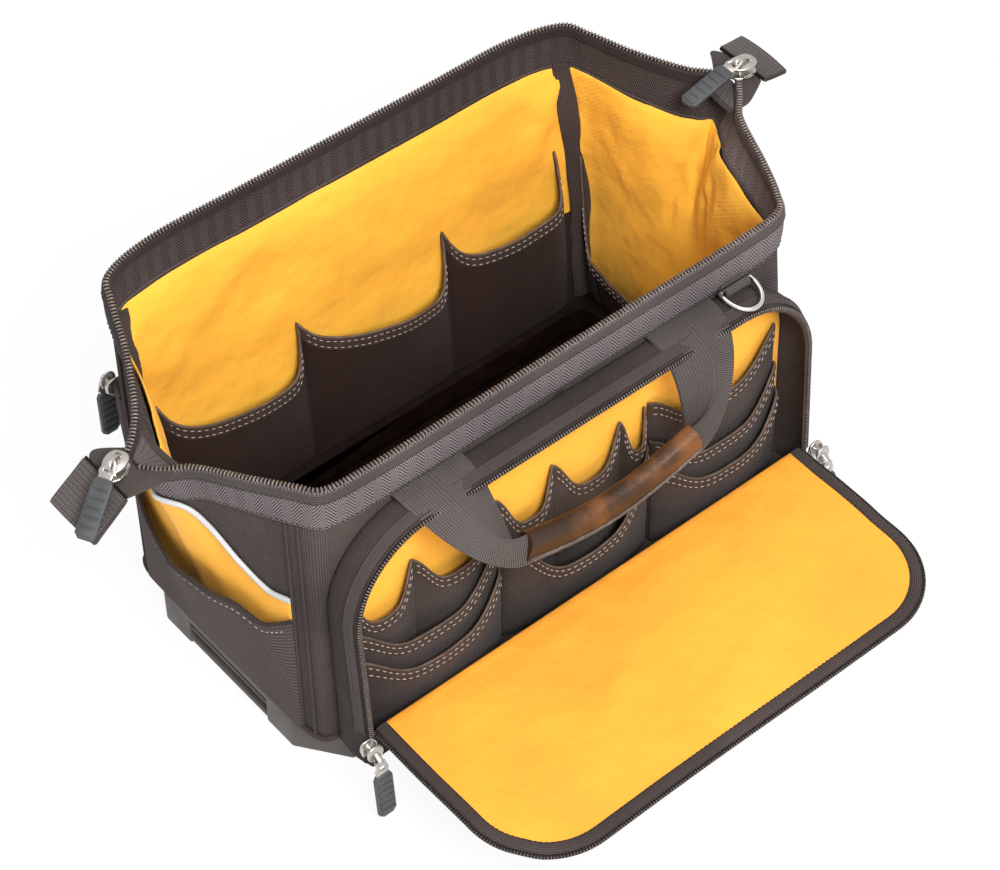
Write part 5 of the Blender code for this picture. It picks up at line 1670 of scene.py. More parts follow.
@dataclass
class Compartment:
    """The front compartment: gusset, sill, yellow back, zip and pouches."""

    shop: Workshop
    shape: BodyShape
    hinge_y: float = -0.1425
    hinge_z: float = 0.0695
    half_width: float = 0.2050
    height: float = 0.1665
    radius: float = 0.068
    lean: float = math.radians(4.16)
    skin: float = 0.0030
    chain: float = 0.0022
    chain_gap: float = 0.0004
    chain_tape: float = 0.0034
    back_gap: float = 0.0014
    bulge: float = 0.0032
    gusset: float = 0.0020
    gusset_foot: float = 0.0014
    lip_drop: float = 0.0016
    tape_width: float = 0.0068
    border: float = 0.0010
    pouch: float = 0.0014
    back_foot: float = 0.0036
    backing: float = 0.0015
    sill: float = 0.0026
    sill_foot: float = 0.0015
    sill_drop: float = 0.0027
    sill_round: float = 0.004

    def outline(self, inset: float, steps: int = 20, sides: int = 16, crown: int = 40) -> list[Pair]:
        """Return (across, up) points of the arch, from the left root to the right root.

        Args:
            inset: how far inside the arch's edge.
            steps: the steps round each corner.
            sides: the points up each side.
            crown: the steps along the top.

        Returns:
            The points.
        """
        half = self.half_width - inset
        top = self.height - inset
        radius = self.radius - inset
        left = [(-half, up) for up in spaced(0.0, top - radius, sides)[:-1]]
        for step in range(steps + 1):
            angle = math.pi - step * math.pi / 2 / steps
            left.append((-half + radius + radius * math.cos(angle), top - radius + radius * math.sin(angle)))
        left += [(value, top) for value in spaced(-half + radius, 0.0, crown // 2 + 1)[1:]]
        return left + [(-x, up) for x, up in reversed(left[:-1])]

    def plane(self, across: float, up: float, behind: float = 0.0) -> Vector:
        """Return a point of the arch's leaning plane, or a distance behind it.

        Args:
            across: how far right of the middle.
            up: how far up the plane.
            behind: how far behind it.

        Returns:
            The point.
        """
        along = Vector((0, math.sin(self.lean), math.cos(self.lean)))
        inward = Vector((0, math.cos(self.lean), -math.sin(self.lean)))
        return Vector((across, self.hinge_y, self.hinge_z)) + along * up + inward * behind

    def facing(self) -> Vector:
        """Return the direction that the arch's plane faces."""
        return (self.plane(0, 0, -1) - self.plane(0, 0)).normalized()

    def back_y(self, height: float) -> float:
        """Return the y of the plane that the compartment's back lies on.

        Args:
            height: the height above the ground.

        Returns:
            The y of the plane there.
        """
        low = self.shape.floor
        high = self.shape.rim_front - self.shape.band_depth
        share = (height - low) / (high - low)
        return mix(self.shape.bare(0, 0.0).y, self.shape.bare(0, 1.0).y, share) - self.back_gap

    def level_up(self, height: float) -> float:
        """Return how far up the leaning plane a height lies."""
        return (height - self.hinge_z) / math.cos(self.lean)

    def build(self) -> None:
        """Build the compartment and what it holds."""
        self._gusset()
        self._zip_border()
        self._back()
        self._sill()
        self._zip()
        PouchRow(self.shop, self).build()

    def _gusset(self) -> None:
        """Build the arch's cloth side, rounded over to a lip that carries the zip."""
        line = self.outline(0.0)
        low = self.level_up(self.shape.floor + self.gusset_foot)
        foot = [(line[0][0], up) for up in spaced(low, 0.0, 8)[:-1]]
        line = foot + line + [(-across, up) for across, up in reversed(foot)]
        profile = []
        for share in spaced(0.0, 1.0, 12):
            swell = self.bulge * math.sin(math.pi * min(1.0, share * 1.05)) ** 0.8
            profile.append((swell, 1.0 - share, 0.0))
        for share in spaced(0.0, 1.0, 5)[1:]:
            angle = share * math.pi / 2
            profile.append((-self.skin * 0.9 * (1 - math.cos(angle)), 0.0, -self.lip_drop * math.sin(angle)))
        grid = []
        for out, depth, ahead in profile:
            row = []
            for (across, up), (away_x, away_up) in zip(line, outline_normals(line)):
                x = across + away_x * (out - self.skin / 2)
                front = self.plane(x, up + away_up * (out - self.skin / 2), ahead)
                row.append(front.lerp(Vector((x, self.back_y(front.z), front.z)), depth))
            grid.append(row)
        self.shop.cloth("front_gusset_cloth", grid, self.gusset, Finish.STRIP, "front_gusset")

    def _side_point(self, spot: Pair, away: Pair, depth: float, out: float) -> Vector:
        """Return a point of the gusset's outside, a distance behind its front edge.

        Args:
            spot: a point of the arch, across and up.
            away: the outward direction there.
            depth: how far behind the front edge.
            out: how far outside the arch.

        Returns:
            The point.
        """
        front = self.plane(spot[0] + away[0] * out, spot[1] + away[1] * out)
        back = Vector((front.x, self.back_y(front.z), front.z))
        return front + (back - front).normalized() * depth

    def _zip_border(self) -> None:
        """Sew the zip's smooth tape round the gusset's front edge, with a raised ridge behind it."""
        line = self.outline(0.0)
        outward = outline_normals(line)
        grid = []
        for depth in spaced(0.0004, self.tape_width, 6):
            out = 0.0008 + self.bulge * 0.5 * depth / self.tape_width
            grid.append([self._side_point(spot, away, depth, out) for spot, away in zip(line, outward)])
        self.shop.cloth("arch_zip_border", grid, self.border, Finish.HOOD)
        facing = [Vector((away_x, 0, away_up)) for away_x, away_up in outward]
        self.shop.rod("arch_zip_ridge", grid[-1], MeshKit.ring(0.0026, 0.0028, 8), Finish.HOOD, upward=facing)

    def _back(self) -> None:
        """Build the yellow back of the compartment."""
        inset = self.skin + 0.0006
        top = self.height - inset
        low = self.level_up(self.shape.floor + self.back_foot)
        rows = []
        for up in spaced(low, top, 40):
            width = arch_half_width(self.half_width - inset, top, self.radius - inset, up)
            row = []
            for side in spaced(-1.0, 1.0, 60):
                height = self.plane(side * width, up).z
                wave = 0.0005 * ripple(side * width * 14.0, height * 14.0, 9.0)
                row.append(Vector((side * width, self.back_y(height) - 0.0009 + wave, height)))
            rows.append(row)
        self.shop.cloth("yellow_pocket_back", rows, self.backing, Finish.BACKING, "front_pocket_back")

    def _sill(self) -> None:
        """Build the low front of the compartment, from the tray to the hinge."""
        floor = self.shape.floor
        low = floor + self.sill_foot
        top = self.hinge_z - self.sill_drop
        front = self.hinge_y - 0.0005
        back = self.back_y(floor)
        profile = [(back, low)] + [(mix(back, front, share), low) for share in spaced(0.0, 1.0, 8)[1:-1]]
        for share in spaced(0.0, 1.0, 6):
            angle = share * math.pi / 2
            profile.append((front + self.sill_round * (1 - math.sin(angle)),
                            low + self.sill_round * (1 - math.cos(angle))))
        profile += [(front, height) for height in spaced(floor + 0.006, top, 8)[1:]]
        grid = []
        for y, z in profile:
            loose = floor + 0.006 < z < top - 0.004
            grid.append([Vector((x, y - (0.0010 * ripple(x * 12.0, z * 20.0, 5.0) if loose else 0.0), z))
                         for x in spaced(-self.half_width, self.half_width, 80)])
        self.shop.cloth("front_sill_cloth", grid, self.sill, Finish.STRIP, "front_sill")

    def _zip(self) -> None:
        """Build the coil zip round the arch."""
        line = self.outline(self.skin / 2 + self.chain_gap)
        ahead = -self.chain - self.chain_gap
        section = MeshKit.ring(self.chain_tape, self.chain_tape, 8)
        path = [self.plane(across, up, ahead) for across, up in line]
        self.shop.rod("arch_zip_tape", path, section, Finish.COIL, "arch_chain", upward=self.facing())
        path = [self.plane(across, up, ahead - 0.0005) for across, up in line]
        self.shop.teeth("arch_zip_teeth", path, [self.facing()] * len(path), ARCH_COIL)


def outline_normals(line: Sequence[Pair]) -> list[Pair]:
    """Return the outward direction at each point of an arch outline.

    Args:
        line: the outline's points in order.

    Returns:
        A unit direction for each point.
    """
    result = []
    last = len(line) - 1
    for index in range(len(line)):
        before = line[max(index - 1, 0)]
        after = line[min(index + 1, last)]
        along = Vector((after[0] - before[0], after[1] - before[1])).normalized()
        result.append((-along.y, along.x))
    return result


def arch_half_width(half: float, top: float, radius: float, up: float) -> float:
    """Return half the width of an arch with rounded corners at a height.

    Args:
        half: half the arch's full width.
        top: its height.
        radius: the radius of its corners.
        up: the height to measure at.

    Returns:
        Half the width there.
    """
    over = up - (top - radius)
    if over <= 0:
        return half
    return half - radius + math.sqrt(max(0.0, radius * radius - over * over))


@dataclass(frozen=True)
class PouchPlan:
    """One pouch panel: its span, seams, hem heights, layer and how far it stands out."""

    name: str
    start: float
    end: float
    seams: tuple[float, ...]
    low: float
    high: float
    layer: int
    bulge: float


@dataclass
class PouchRow:
    """The pouches sewn in front of the compartment's yellow back."""

    shop: Workshop
    room: Compartment
    plans: tuple[PouchPlan, ...] = (
        PouchPlan("left_rear_pouch", -0.194, -0.068, (0.0, 0.45, 1.0), 0.142, 0.170, 0, 0.0085),
        PouchPlan("left_middle_pouch", -0.194, -0.068, (0.0, 1.0), 0.112, 0.140, 1, 0.0145),
        PouchPlan("left_front_pouch", -0.194, -0.068, (0.0, 1.0), 0.093, 0.116, 2, 0.0210),
        PouchPlan("centre_rear_pouch", -0.064, 0.070, (0.0, 0.37, 0.83, 1.0), 0.147, 0.175, 0, 0.0085),
        PouchPlan("centre_front_pouch", -0.064, 0.070, (0.0, 1.0), 0.093, 0.140, 1, 0.0210),
        PouchPlan("right_rear_pouch", 0.074, 0.194, (0.0, 1.0), 0.148, 0.176, 0, 0.0085),
        PouchPlan("right_middle_pouch", 0.074, 0.194, (0.0, 1.0), 0.112, 0.140, 1, 0.0145),
        PouchPlan("right_front_pouch", 0.074, 0.194, (0.0, 1.0), 0.093, 0.116, 2, 0.0210),
    )
    bottom: float = 0.0388
    back_clearance: float = 0.0019
    layer_gap: float = 0.0023
    hem_power: float = 5.5
    hem_depth: float = 0.0092
    hem_extra: float = 0.0008
    stitch_drops: Pair = (0.0020, 0.0072)
    stitch_lift: float = 0.0006

    def build(self) -> None:
        """Build every pouch with its hem and stitches."""
        for plan in self.plans:
            self._pouch(plan)

    def _surface(self, plan: PouchPlan) -> Surface:
        """Return the pouch's front face as a function of its shares across and up.

        Args:
            plan: the pouch's sizes.

        Returns:
            The function.
        """
        room = self.room
        sharpness = 0.7 if len(plan.seams) > 2 else 0.5
        base = self.back_clearance + plan.layer * self.layer_gap

        def point(across: float, up: float) -> Vector:
            """Return one point of the pouch.

            Args:
                across: the share across.
                up: the share up.

            Returns:
                The point.
            """
            share = cell_share(across, plan.seams)
            hem = mix(plan.low, plan.high, abs(math.cos(math.pi * share)) ** self.hem_power)
            height = mix(self.bottom, hem, up)
            flare = 0.45 + 0.55 * (1.0 - math.exp(-(height - self.bottom) / 0.019))
            swell = max(0.0, math.sin(math.pi * share)) ** sharpness
            forward = base + room.pouch / 2 + plan.bulge * swell * flare
            forward += 0.0005 * swell * ripple(across * 7.0 + plan.start * 9.0, up * 2.5, 11.0 + plan.layer)
            return Vector((mix(plan.start, plan.end, across), room.back_y(height) - forward, height))

        return point

    def _pouch(self, plan: PouchPlan) -> None:
        """Build one pouch panel, its hem edge and its stitches.

        Args:
            plan: the pouch's sizes.
        """
        patch = Patch(self._surface(plan), Vector((0, -1, 0)))
        columns = cell_samples(plan.seams, 22 if len(plan.seams) > 2 else 54)
        rows = [1.0 - (1.0 - share) ** 1.3 for share in spaced(0.0, 1.0, 24)]
        self.shop.cloth(plan.name + "_cloth", patch.grid(columns, rows), self.room.pouch, Finish.POUCH,
                        plan.name)
        span = plan.low - self.bottom
        folded = patch.grid(columns, spaced(1.0 - self.hem_depth / span, 1.0, 5))
        self.shop.cloth(plan.name + "_hem", folded, self.room.pouch + self.hem_extra, Finish.HEM_CLOTH)
        path = [patch.point(across, 1.0) + UP * 0.0008 for across in columns]
        self.shop.rod(plan.name + "_edge", path, MeshKit.ring(0.0017, 0.0010, 8), Finish.HEM)
        strands = []
        for drop in self.stitch_drops:
            for start, end in zip(plan.seams, plan.seams[1:]):
                places = [(across, 1.0 - drop / span) for across in spaced(start + 0.015, end - 0.015, 40)]
                strands.append(patch.line(places, self.room.pouch / 2 + self.stitch_lift))
        self.shop.stitches(plan.name + "_stitches", strands, POUCH_STITCH)


def cell_share(across: float, seams: Sequence[float]) -> float:
    """Return where a share of a pocket's width lies in its own cell.

    Args:
        across: the share of the pocket's width.
        seams: the shares of its seams.

    Returns:
        The share of the cell's width.
    """
    for start, end in zip(seams, seams[1:]):
        if across <= end:
            return (across - start) / (end - start)
    return 1.0


def cell_samples(seams: Sequence[float], per_cell: int) -> list[float]:
    """Return shares across a pocket that meet each seam and crowd towards it.

    Args:
        seams: the shares of the pocket's seams.
        per_cell: how many shares each cell gets.

    Returns:
        The shares in order.
    """
    samples = [seams[0]]
    for start, end in zip(seams, seams[1:]):
        for step in range(1, per_cell + 1):
            samples.append(mix(start, end, 0.5 - 0.5 * math.cos(math.pi * step / per_cell)))
    return samples


@dataclass
class Flap:
    """The fold-down flap: black shell, yellow lining, binding and its half of the zip."""

    shop: Workshop
    room: Compartment
    body: str = "front_flap"
    droop: float = math.radians(3.8)
    shell: float = 0.0026
    lining: float = 0.0014
    layer_gap: float = 0.0004
    binding: float = 0.0085
    binding_extra: float = 0.0022
    fold_half: float = 0.196
    shift: float = 0.0040
    wave: float = 0.0016

    def surface(self, across: float, along: float, above: float) -> Vector:
        """Return a point of the open flap, with its slack waves and sideways set.

        Args:
            across: how far right of the middle.
            along: how far from the fold.
            above: how far above the outer cloth.

        Returns:
            The point.
        """
        room = self.room
        outward = Vector((0, -math.cos(self.droop), -math.sin(self.droop)))
        upward = Vector((0, -math.sin(self.droop), math.cos(self.droop)))
        share = clamp(along / room.height)
        held = ease(share * 3.0)
        wave = self.wave * held * ripple(across * 7.0, along * 9.0, 21.0)
        wave += 0.0012 * held * math.sin(across * 16.0 + along * 12.0)
        crease = ripple(across * 6.0 + along * 11.0, along * 7.0 - across * 2.0, 79.0)
        ridge = max(0.0, 1.0 - 3.2 * abs(crease))
        wave += 0.0017 * ease(along / 0.03) * ease((room.height - along) / 0.03) * ease(ridge)
        x = across + self.shift * ease(share)
        return Vector((x, room.hinge_y, room.hinge_z)) + outward * along + upward * (above + wave)

    def facing(self) -> Vector:
        """Return the direction that stands square on the flap."""
        return self.surface(0, 0, 1) - self.surface(0, 0, 0)

    def _grid(self, inset: float, root: float, above: float) -> Grid:
        """Return the flap's points inside an inset outline.

        Args:
            inset: how far inside the flap's edge.
            root: how far from the fold it starts.
            above: how far above the outer cloth.

        Returns:
            The rows of points.
        """
        room = self.room
        top = room.height - inset
        radius = room.radius - inset
        straight = top - radius
        rows = []
        for share in spaced(0.0, 1.0, 44):
            if share < 0.5:
                along = mix(root, straight, share * 2.0)
            else:
                along = straight + radius * math.sin((share - 0.5) * math.pi)
            width = arch_half_width(room.half_width - inset, top, radius, along)
            rows.append([self.surface(side * width, along, above) for side in spaced(-1.0, 1.0, 90)])
        return rows

    def build(self) -> None:
        """Build the flap's layers."""
        edge = self.room.skin / 2 + 3 * self.room.chain + 0.0008
        middle = (self.shell + self.lining + self.layer_gap) / 2
        grid = self._grid(edge, 0.0006, -middle + self.shell / 2)
        self.shop.cloth("flap_outer_cloth", grid, self.shell, Finish.STRIP, "flap_shell", body=self.body)
        grid = self._grid(edge + 0.0010, 0.0010, middle - self.lining / 2)
        self.shop.cloth("flap_yellow", grid, self.lining, Finish.FLAP_LINING, "flap_lining", body=self.body)
        self._binding(edge)
        self._zip()

    def _line(self, inset: float, root: float, above: float) -> list[Vector]:
        """Return the flap's outline at an inset, from one root end to the other.

        Args:
            inset: how far inside the flap's edge.
            root: how far from the fold it starts.
            above: how far above the outer cloth.

        Returns:
            The points of the line.
        """
        line = self.room.outline(inset)
        above_root = [point for point in line[1:-1] if point[1] > root]
        line = [(line[0][0], root)] + above_root + [(line[-1][0], root)]
        return [self.surface(across, along, above) for across, along in line]

    def _binding(self, edge: float) -> None:
        """Wrap the edge in black tape with a stitch row.

        Args:
            edge: how far inside the flap's edge the tape starts.
        """
        upward = self.facing()
        depth = self.shell + self.lining + self.binding_extra
        path = self._line(edge + self.binding / 2 - 0.0008, 0.0008, 0.0)
        section = MeshKit.ring(self.binding + 0.0012, depth, 14, 0.7)
        self.shop.rod("flap_binding", path, section, Finish.TAPE, body=self.body, upward=upward)
        row = self._line(edge + self.binding * 0.78, 0.004, depth / 2)
        self.shop.stitches("flap_binding_stitches", [(row, [upward] * len(row))], FLAP_STITCH, self.body)
        root = [self.surface(across, 0.0014, -0.0004)
                for across in spaced(-self.fold_half, self.fold_half, 60)]
        section = MeshKit.ring(0.0034, 0.0046, 10)
        self.shop.rod("flap_hinge_fold", root, section, Finish.TAPE, body=self.body, upward=upward)

    def _zip(self) -> None:
        """Build the flap's half of the coil zip."""
        room = self.room
        upward = self.facing()
        path = self._line(room.skin / 2 + 2 * room.chain + room.chain_gap, 2 * room.chain, 0.0)
        section = MeshKit.ring(0.0032, 0.0032, 8)
        self.shop.rod("flap_zip_tape", path, section, Finish.COIL, "flap_chain", body=self.body,
                      upward=upward)
        self.shop.teeth("flap_zip_teeth", path, [upward] * len(path), FLAP_COIL, self.body)


@dataclass
class SidePocket:
    """One end's outer pocket: yellow backing under light piping, and a ribbed pocket with a stitched hem."""

    shop: Workshop
    shape: BodyShape
    side: str
    seam_gap: float = 0.36
    backing: float = 0.0010
    backing_lift: float = 0.0014
    lift: float = 0.0029
    bulge: float = 0.0125
    cloth: float = 0.0020
    bottom: float = 0.0358
    columns: int = 90
    rows: int = 34
    hems: tuple[float, ...] = (0.152, 0.126, 0.113, 0.115, 0.124, 0.134, 0.142, 0.139, 0.134, 0.133, 0.136,
                               0.131, 0.147)
    pipings: tuple[float, ...] = (0.165, 0.168, 0.176, 0.191, 0.206, 0.213, 0.216, 0.217, 0.213, 0.196,
                                  0.171, 0.160, 0.166)

    def span(self) -> Pair:
        """Return the first and last places of the pocket round the body.

        Returns:
            The first place and the last.
        """
        shape = self.shape
        if self.side == "right":
            return shape.front_seam + self.seam_gap, shape.rear_seam - self.seam_gap
        return shape.count - shape.rear_seam + self.seam_gap, shape.count - shape.front_seam - self.seam_gap

    def _height(self, heights: Sequence[float], across: float) -> float:
        """Return a smooth height from a table that runs from the rear corner to the front one.

        Args:
            heights: the heights in the table.
            across: the share across.

        Returns:
            The height.
        """
        share = across if self.side == "left" else 1.0 - across
        last = len(heights) - 1
        spot = clamp(share) * last
        index = min(int(spot), last - 1)
        return through(*(heights[int(clamp(pick, 0, last))] for pick in around(index)), spot - index)

    def _patch(self, heights: Sequence[float], out: Callable[[float, float], float]) -> Patch:
        """Return a patch up to the given heights, moved out from the wall by a function of both shares.

        Args:
            heights: the heights of its upper edge.
            out: how far it stands out, by the shares across and up.

        Returns:
            The patch.
        """
        start, end = self.span()

        def point(across: float, up: float) -> Vector:
            """Return a point of the patch."""
            height = mix(self.bottom, self._height(heights, across), up)
            return self.shape.at_height(mix(start, end, across), height, out(across, up))

        return Patch(point, self.shape.outward((start + end) / 2, 0.5))

    def _out(self, across: float, up: float) -> float:
        """Return how far the ribbed pocket stands out of the wall.

        Args:
            across: the share across.
            up: the share up.

        Returns:
            The distance.
        """
        swell = math.sin(math.pi * across) ** 0.5
        out = self.lift + self.bulge * swell * up ** 0.6
        return out + 0.0016 * swell * up * ripple(across * 4.0, up * 1.4, 31.0)

    def build(self) -> None:
        """Build the backing, the piping and the pocket."""
        columns = spaced(0.0, 1.0, self.columns)
        levels = spaced(0.0, 1.0, self.rows)
        patch = self._patch(self.pipings, lambda across, up: self.backing_lift)
        self.shop.cloth(self.side + "_yellow_backing", patch.grid(columns, levels), self.backing,
                        Finish.BACKING, self.side + "_side_backing")
        path, normals = patch.line([(across, 1.0) for across in columns], 0.0008)
        self.shop.rod(self.side + "_light_piping", path, MeshKit.ring(0.0046, 0.0034, 10), Finish.PIPING,
                      upward=normals)
        patch = self._patch(self.hems, self._out)
        self.shop.cloth(self.side + "_ribbed_pocket", patch.grid(columns, levels), self.cloth, Finish.SIDE,
                        self.side + "_side_pocket")
        path, normals = patch.line([(across, 0.995) for across in columns], 0.0002)
        self.shop.rod(self.side + "_pocket_hem", path, MeshKit.ring(0.0030, 0.0036, 10), Finish.STRIP,
                      upward=normals)
        row = patch.line([(across, 0.925) for across in spaced(0.015, 0.985, 90)], self.cloth / 2 + 0.0003)
        self.shop.stitches(self.side + "_hem_stitches", [row], SIDE_STITCH)


@dataclass(frozen=True)
class InnerPocket:
    """One dark pocket inside: its names, seams, hem and how its cells stand out."""

    name: str
    node: str
    seams: tuple[float, ...]
    per_cell: int
    hem: Callable[[float], float]
    bulge: float
    sharpness: float


@dataclass
class InnerPockets:
    """The dark pockets inside: three cells along the rear wall and one across the right end."""

    shop: Workshop
    shape: BodyShape
    cloth: float = 0.0016
    inside: float = -0.0062
    bottom: float = 0.0358
    fullness: float = 0.55
    hem_depth: float = 0.0105
    hem_extra: float = 0.0008
    stitch_drops: Pair = (0.0024, 0.0082)
    stitch_lift: float = 0.0006
    rear_bulge: float = 0.021
    rear_sharpness: float = 0.55
    end_gaps: Pair = (0.42, 0.45)
    end_bulge: float = 0.023
    end_sharpness: float = 0.5
    corner_top: float = 0.128
    tag: float = 0.0008
    tag_places: Pair = (11.30, 12.05)
    tag_heights: Pair = (0.046, 0.076)
    rear_cells: tuple[tuple[float, float, Pair, Pair], ...] = (
        (-2.5, -0.92, (0.190, 0.176), (0.150, 0.149)),
        (-0.92, 0.75, (0.176, 0.168), (0.125, 0.156)),
        (0.75, 2.5, (0.168, 0.168), (0.126, 0.156)),
    )

    def build(self) -> None:
        """Build both pockets, the corner between them and the blank tag."""
        starts = (self.rear_cells[0][0],) + tuple(cell[1] for cell in self.rear_cells)
        seams = tuple(self.shape.rear_centre + place for place in starts)
        self._pocket(InnerPocket("rear_inner_cloth", "rear_inner_pocket", seams, 30, self._rear_hem,
                                 self.rear_bulge, self.rear_sharpness))
        self._pocket(InnerPocket("end_inner_cloth", "end_inner_pocket", self._ends(), 90, self._end_hem,
                                 self.end_bulge, self.end_sharpness))
        self._corner()
        self._tag()

    def _ends(self) -> Pair:
        """Return the first and last places of the end pocket round the body."""
        return self.shape.front_seam + self.end_gaps[0], self.shape.rear_seam + self.end_gaps[1]

    def _corner(self) -> None:
        """Close the right rear corner with dark cloth between the two pockets."""
        shape = self.shape
        places = spaced(shape.rear_seam + 0.30, shape.rear_seam + 1.60, 16)
        rows = [[shape.at_height(place, height, self.inside + 0.0009) for place in places]
                for height in spaced(self.bottom, self.corner_top, 14)]
        self.shop.cloth("inner_corner_cloth", rows, 0.0010, Finish.INNER)

    def _tag(self) -> None:
        """Hang the blank black tag on the end pocket, near the rear corner."""
        start, end = self._ends()
        rows = []
        for height in spaced(*self.tag_heights, 8):
            row = []
            for place in spaced(*self.tag_places, 10):
                share = (place - start) / (end - start)
                up = (height - self.bottom) / (self._end_hem(place) - self.bottom)
                swell = math.sin(math.pi * share) ** self.end_sharpness * up ** self.fullness
                out = self.inside - self.end_bulge * swell - self.cloth - 0.0006
                row.append(self.shape.at_height(place, height, out - 0.0006 * math.sin(place * 9.0)))
            rows.append(row)
        self.shop.cloth("blank_tag", rows, self.tag, Finish.TAG)

    def _rear_hem(self, place: float) -> float:
        """Return the rear pocket's hem height: falling along each cell, with a steep rise at its seams.

        Args:
            place: the place round the body.

        Returns:
            The height.
        """
        along = place - self.shape.rear_centre
        start, end, peaks, lows = next((cell for cell in self.rear_cells if along <= cell[1]),
                                       self.rear_cells[-1])
        share = (along - start) / (end - start)
        height = mix(*lows, share) + (peaks[0] - lows[0]) * math.exp(-share / 0.035)
        return height + (peaks[1] - lows[1]) * math.exp((share - 1.0) / 0.06)

    def _end_hem(self, place: float) -> float:
        """Return the end pocket's hem height, low along the end and steep at the rear corner.

        Args:
            place: the place round the body.

        Returns:
            The height.
        """
        start, end = self._ends()
        share = (place - start) / (end - start)
        return 0.086 + 0.060 * math.exp(-share / 0.07) + 0.092 * math.exp((share - 1.0) / 0.035)

    def _point(self, plan: InnerPocket, place: float, up: float) -> Vector:
        """Return a point of a pocket.

        Args:
            plan: the pocket's sizes.
            place: the place round the body.
            up: the share up.

        Returns:
            The point.
        """
        swell = max(0.0, math.sin(math.pi * cell_share(place, plan.seams))) ** plan.sharpness
        out = self.inside - plan.bulge * swell * up ** self.fullness
        out -= 0.0014 * swell * up * ripple(place * 2.3, up * 2.0, 41.0)
        return self.shape.at_height(place, mix(self.bottom, plan.hem(place), up), out)

    def _pocket(self, plan: InnerPocket) -> None:
        """Build one inner pocket with its hem edge and stitches.

        Args:
            plan: the pocket's sizes.
        """
        columns = cell_samples(plan.seams, plan.per_cell)
        grid = [[self._point(plan, place, up) for place in columns] for up in spaced(0.0, 1.0, 30)]
        self.shop.cloth(plan.name, grid, self.cloth, Finish.INNER, plan.node)
        folded = [[self._point(plan, place, 1.0 - share * self.hem_depth / (plan.hem(place) - self.bottom))
                   for place in columns] for share in spaced(1.0, 0.0, 5)]
        self.shop.cloth(plan.name + "_hem", folded, self.cloth + self.hem_extra, Finish.HEM_CLOTH)
        path = [point + UP * 0.0009 for point in grid[-1]]
        self.shop.rod(plan.name + "_edge", path, MeshKit.ring(0.0020, 0.0012, 8), Finish.HEM)
        rows = []
        for drop in self.stitch_drops:
            for start, end in zip(plan.seams, plan.seams[1:]):
                places = spaced(mix(start, end, 0.02), mix(start, end, 0.98), 70)
                inward = [-self.shape.outward(place, 0.5) for place in places]
                line = [self._point(plan, place, 1.0 - drop / (plan.hem(place) - self.bottom))
                        + away * (self.cloth / 2 + self.stitch_lift) for place, away in zip(places, inward)]
                rows.append((line, inward))
        self.shop.stitches(plan.name + "_stitches", rows, INNER_STITCH)


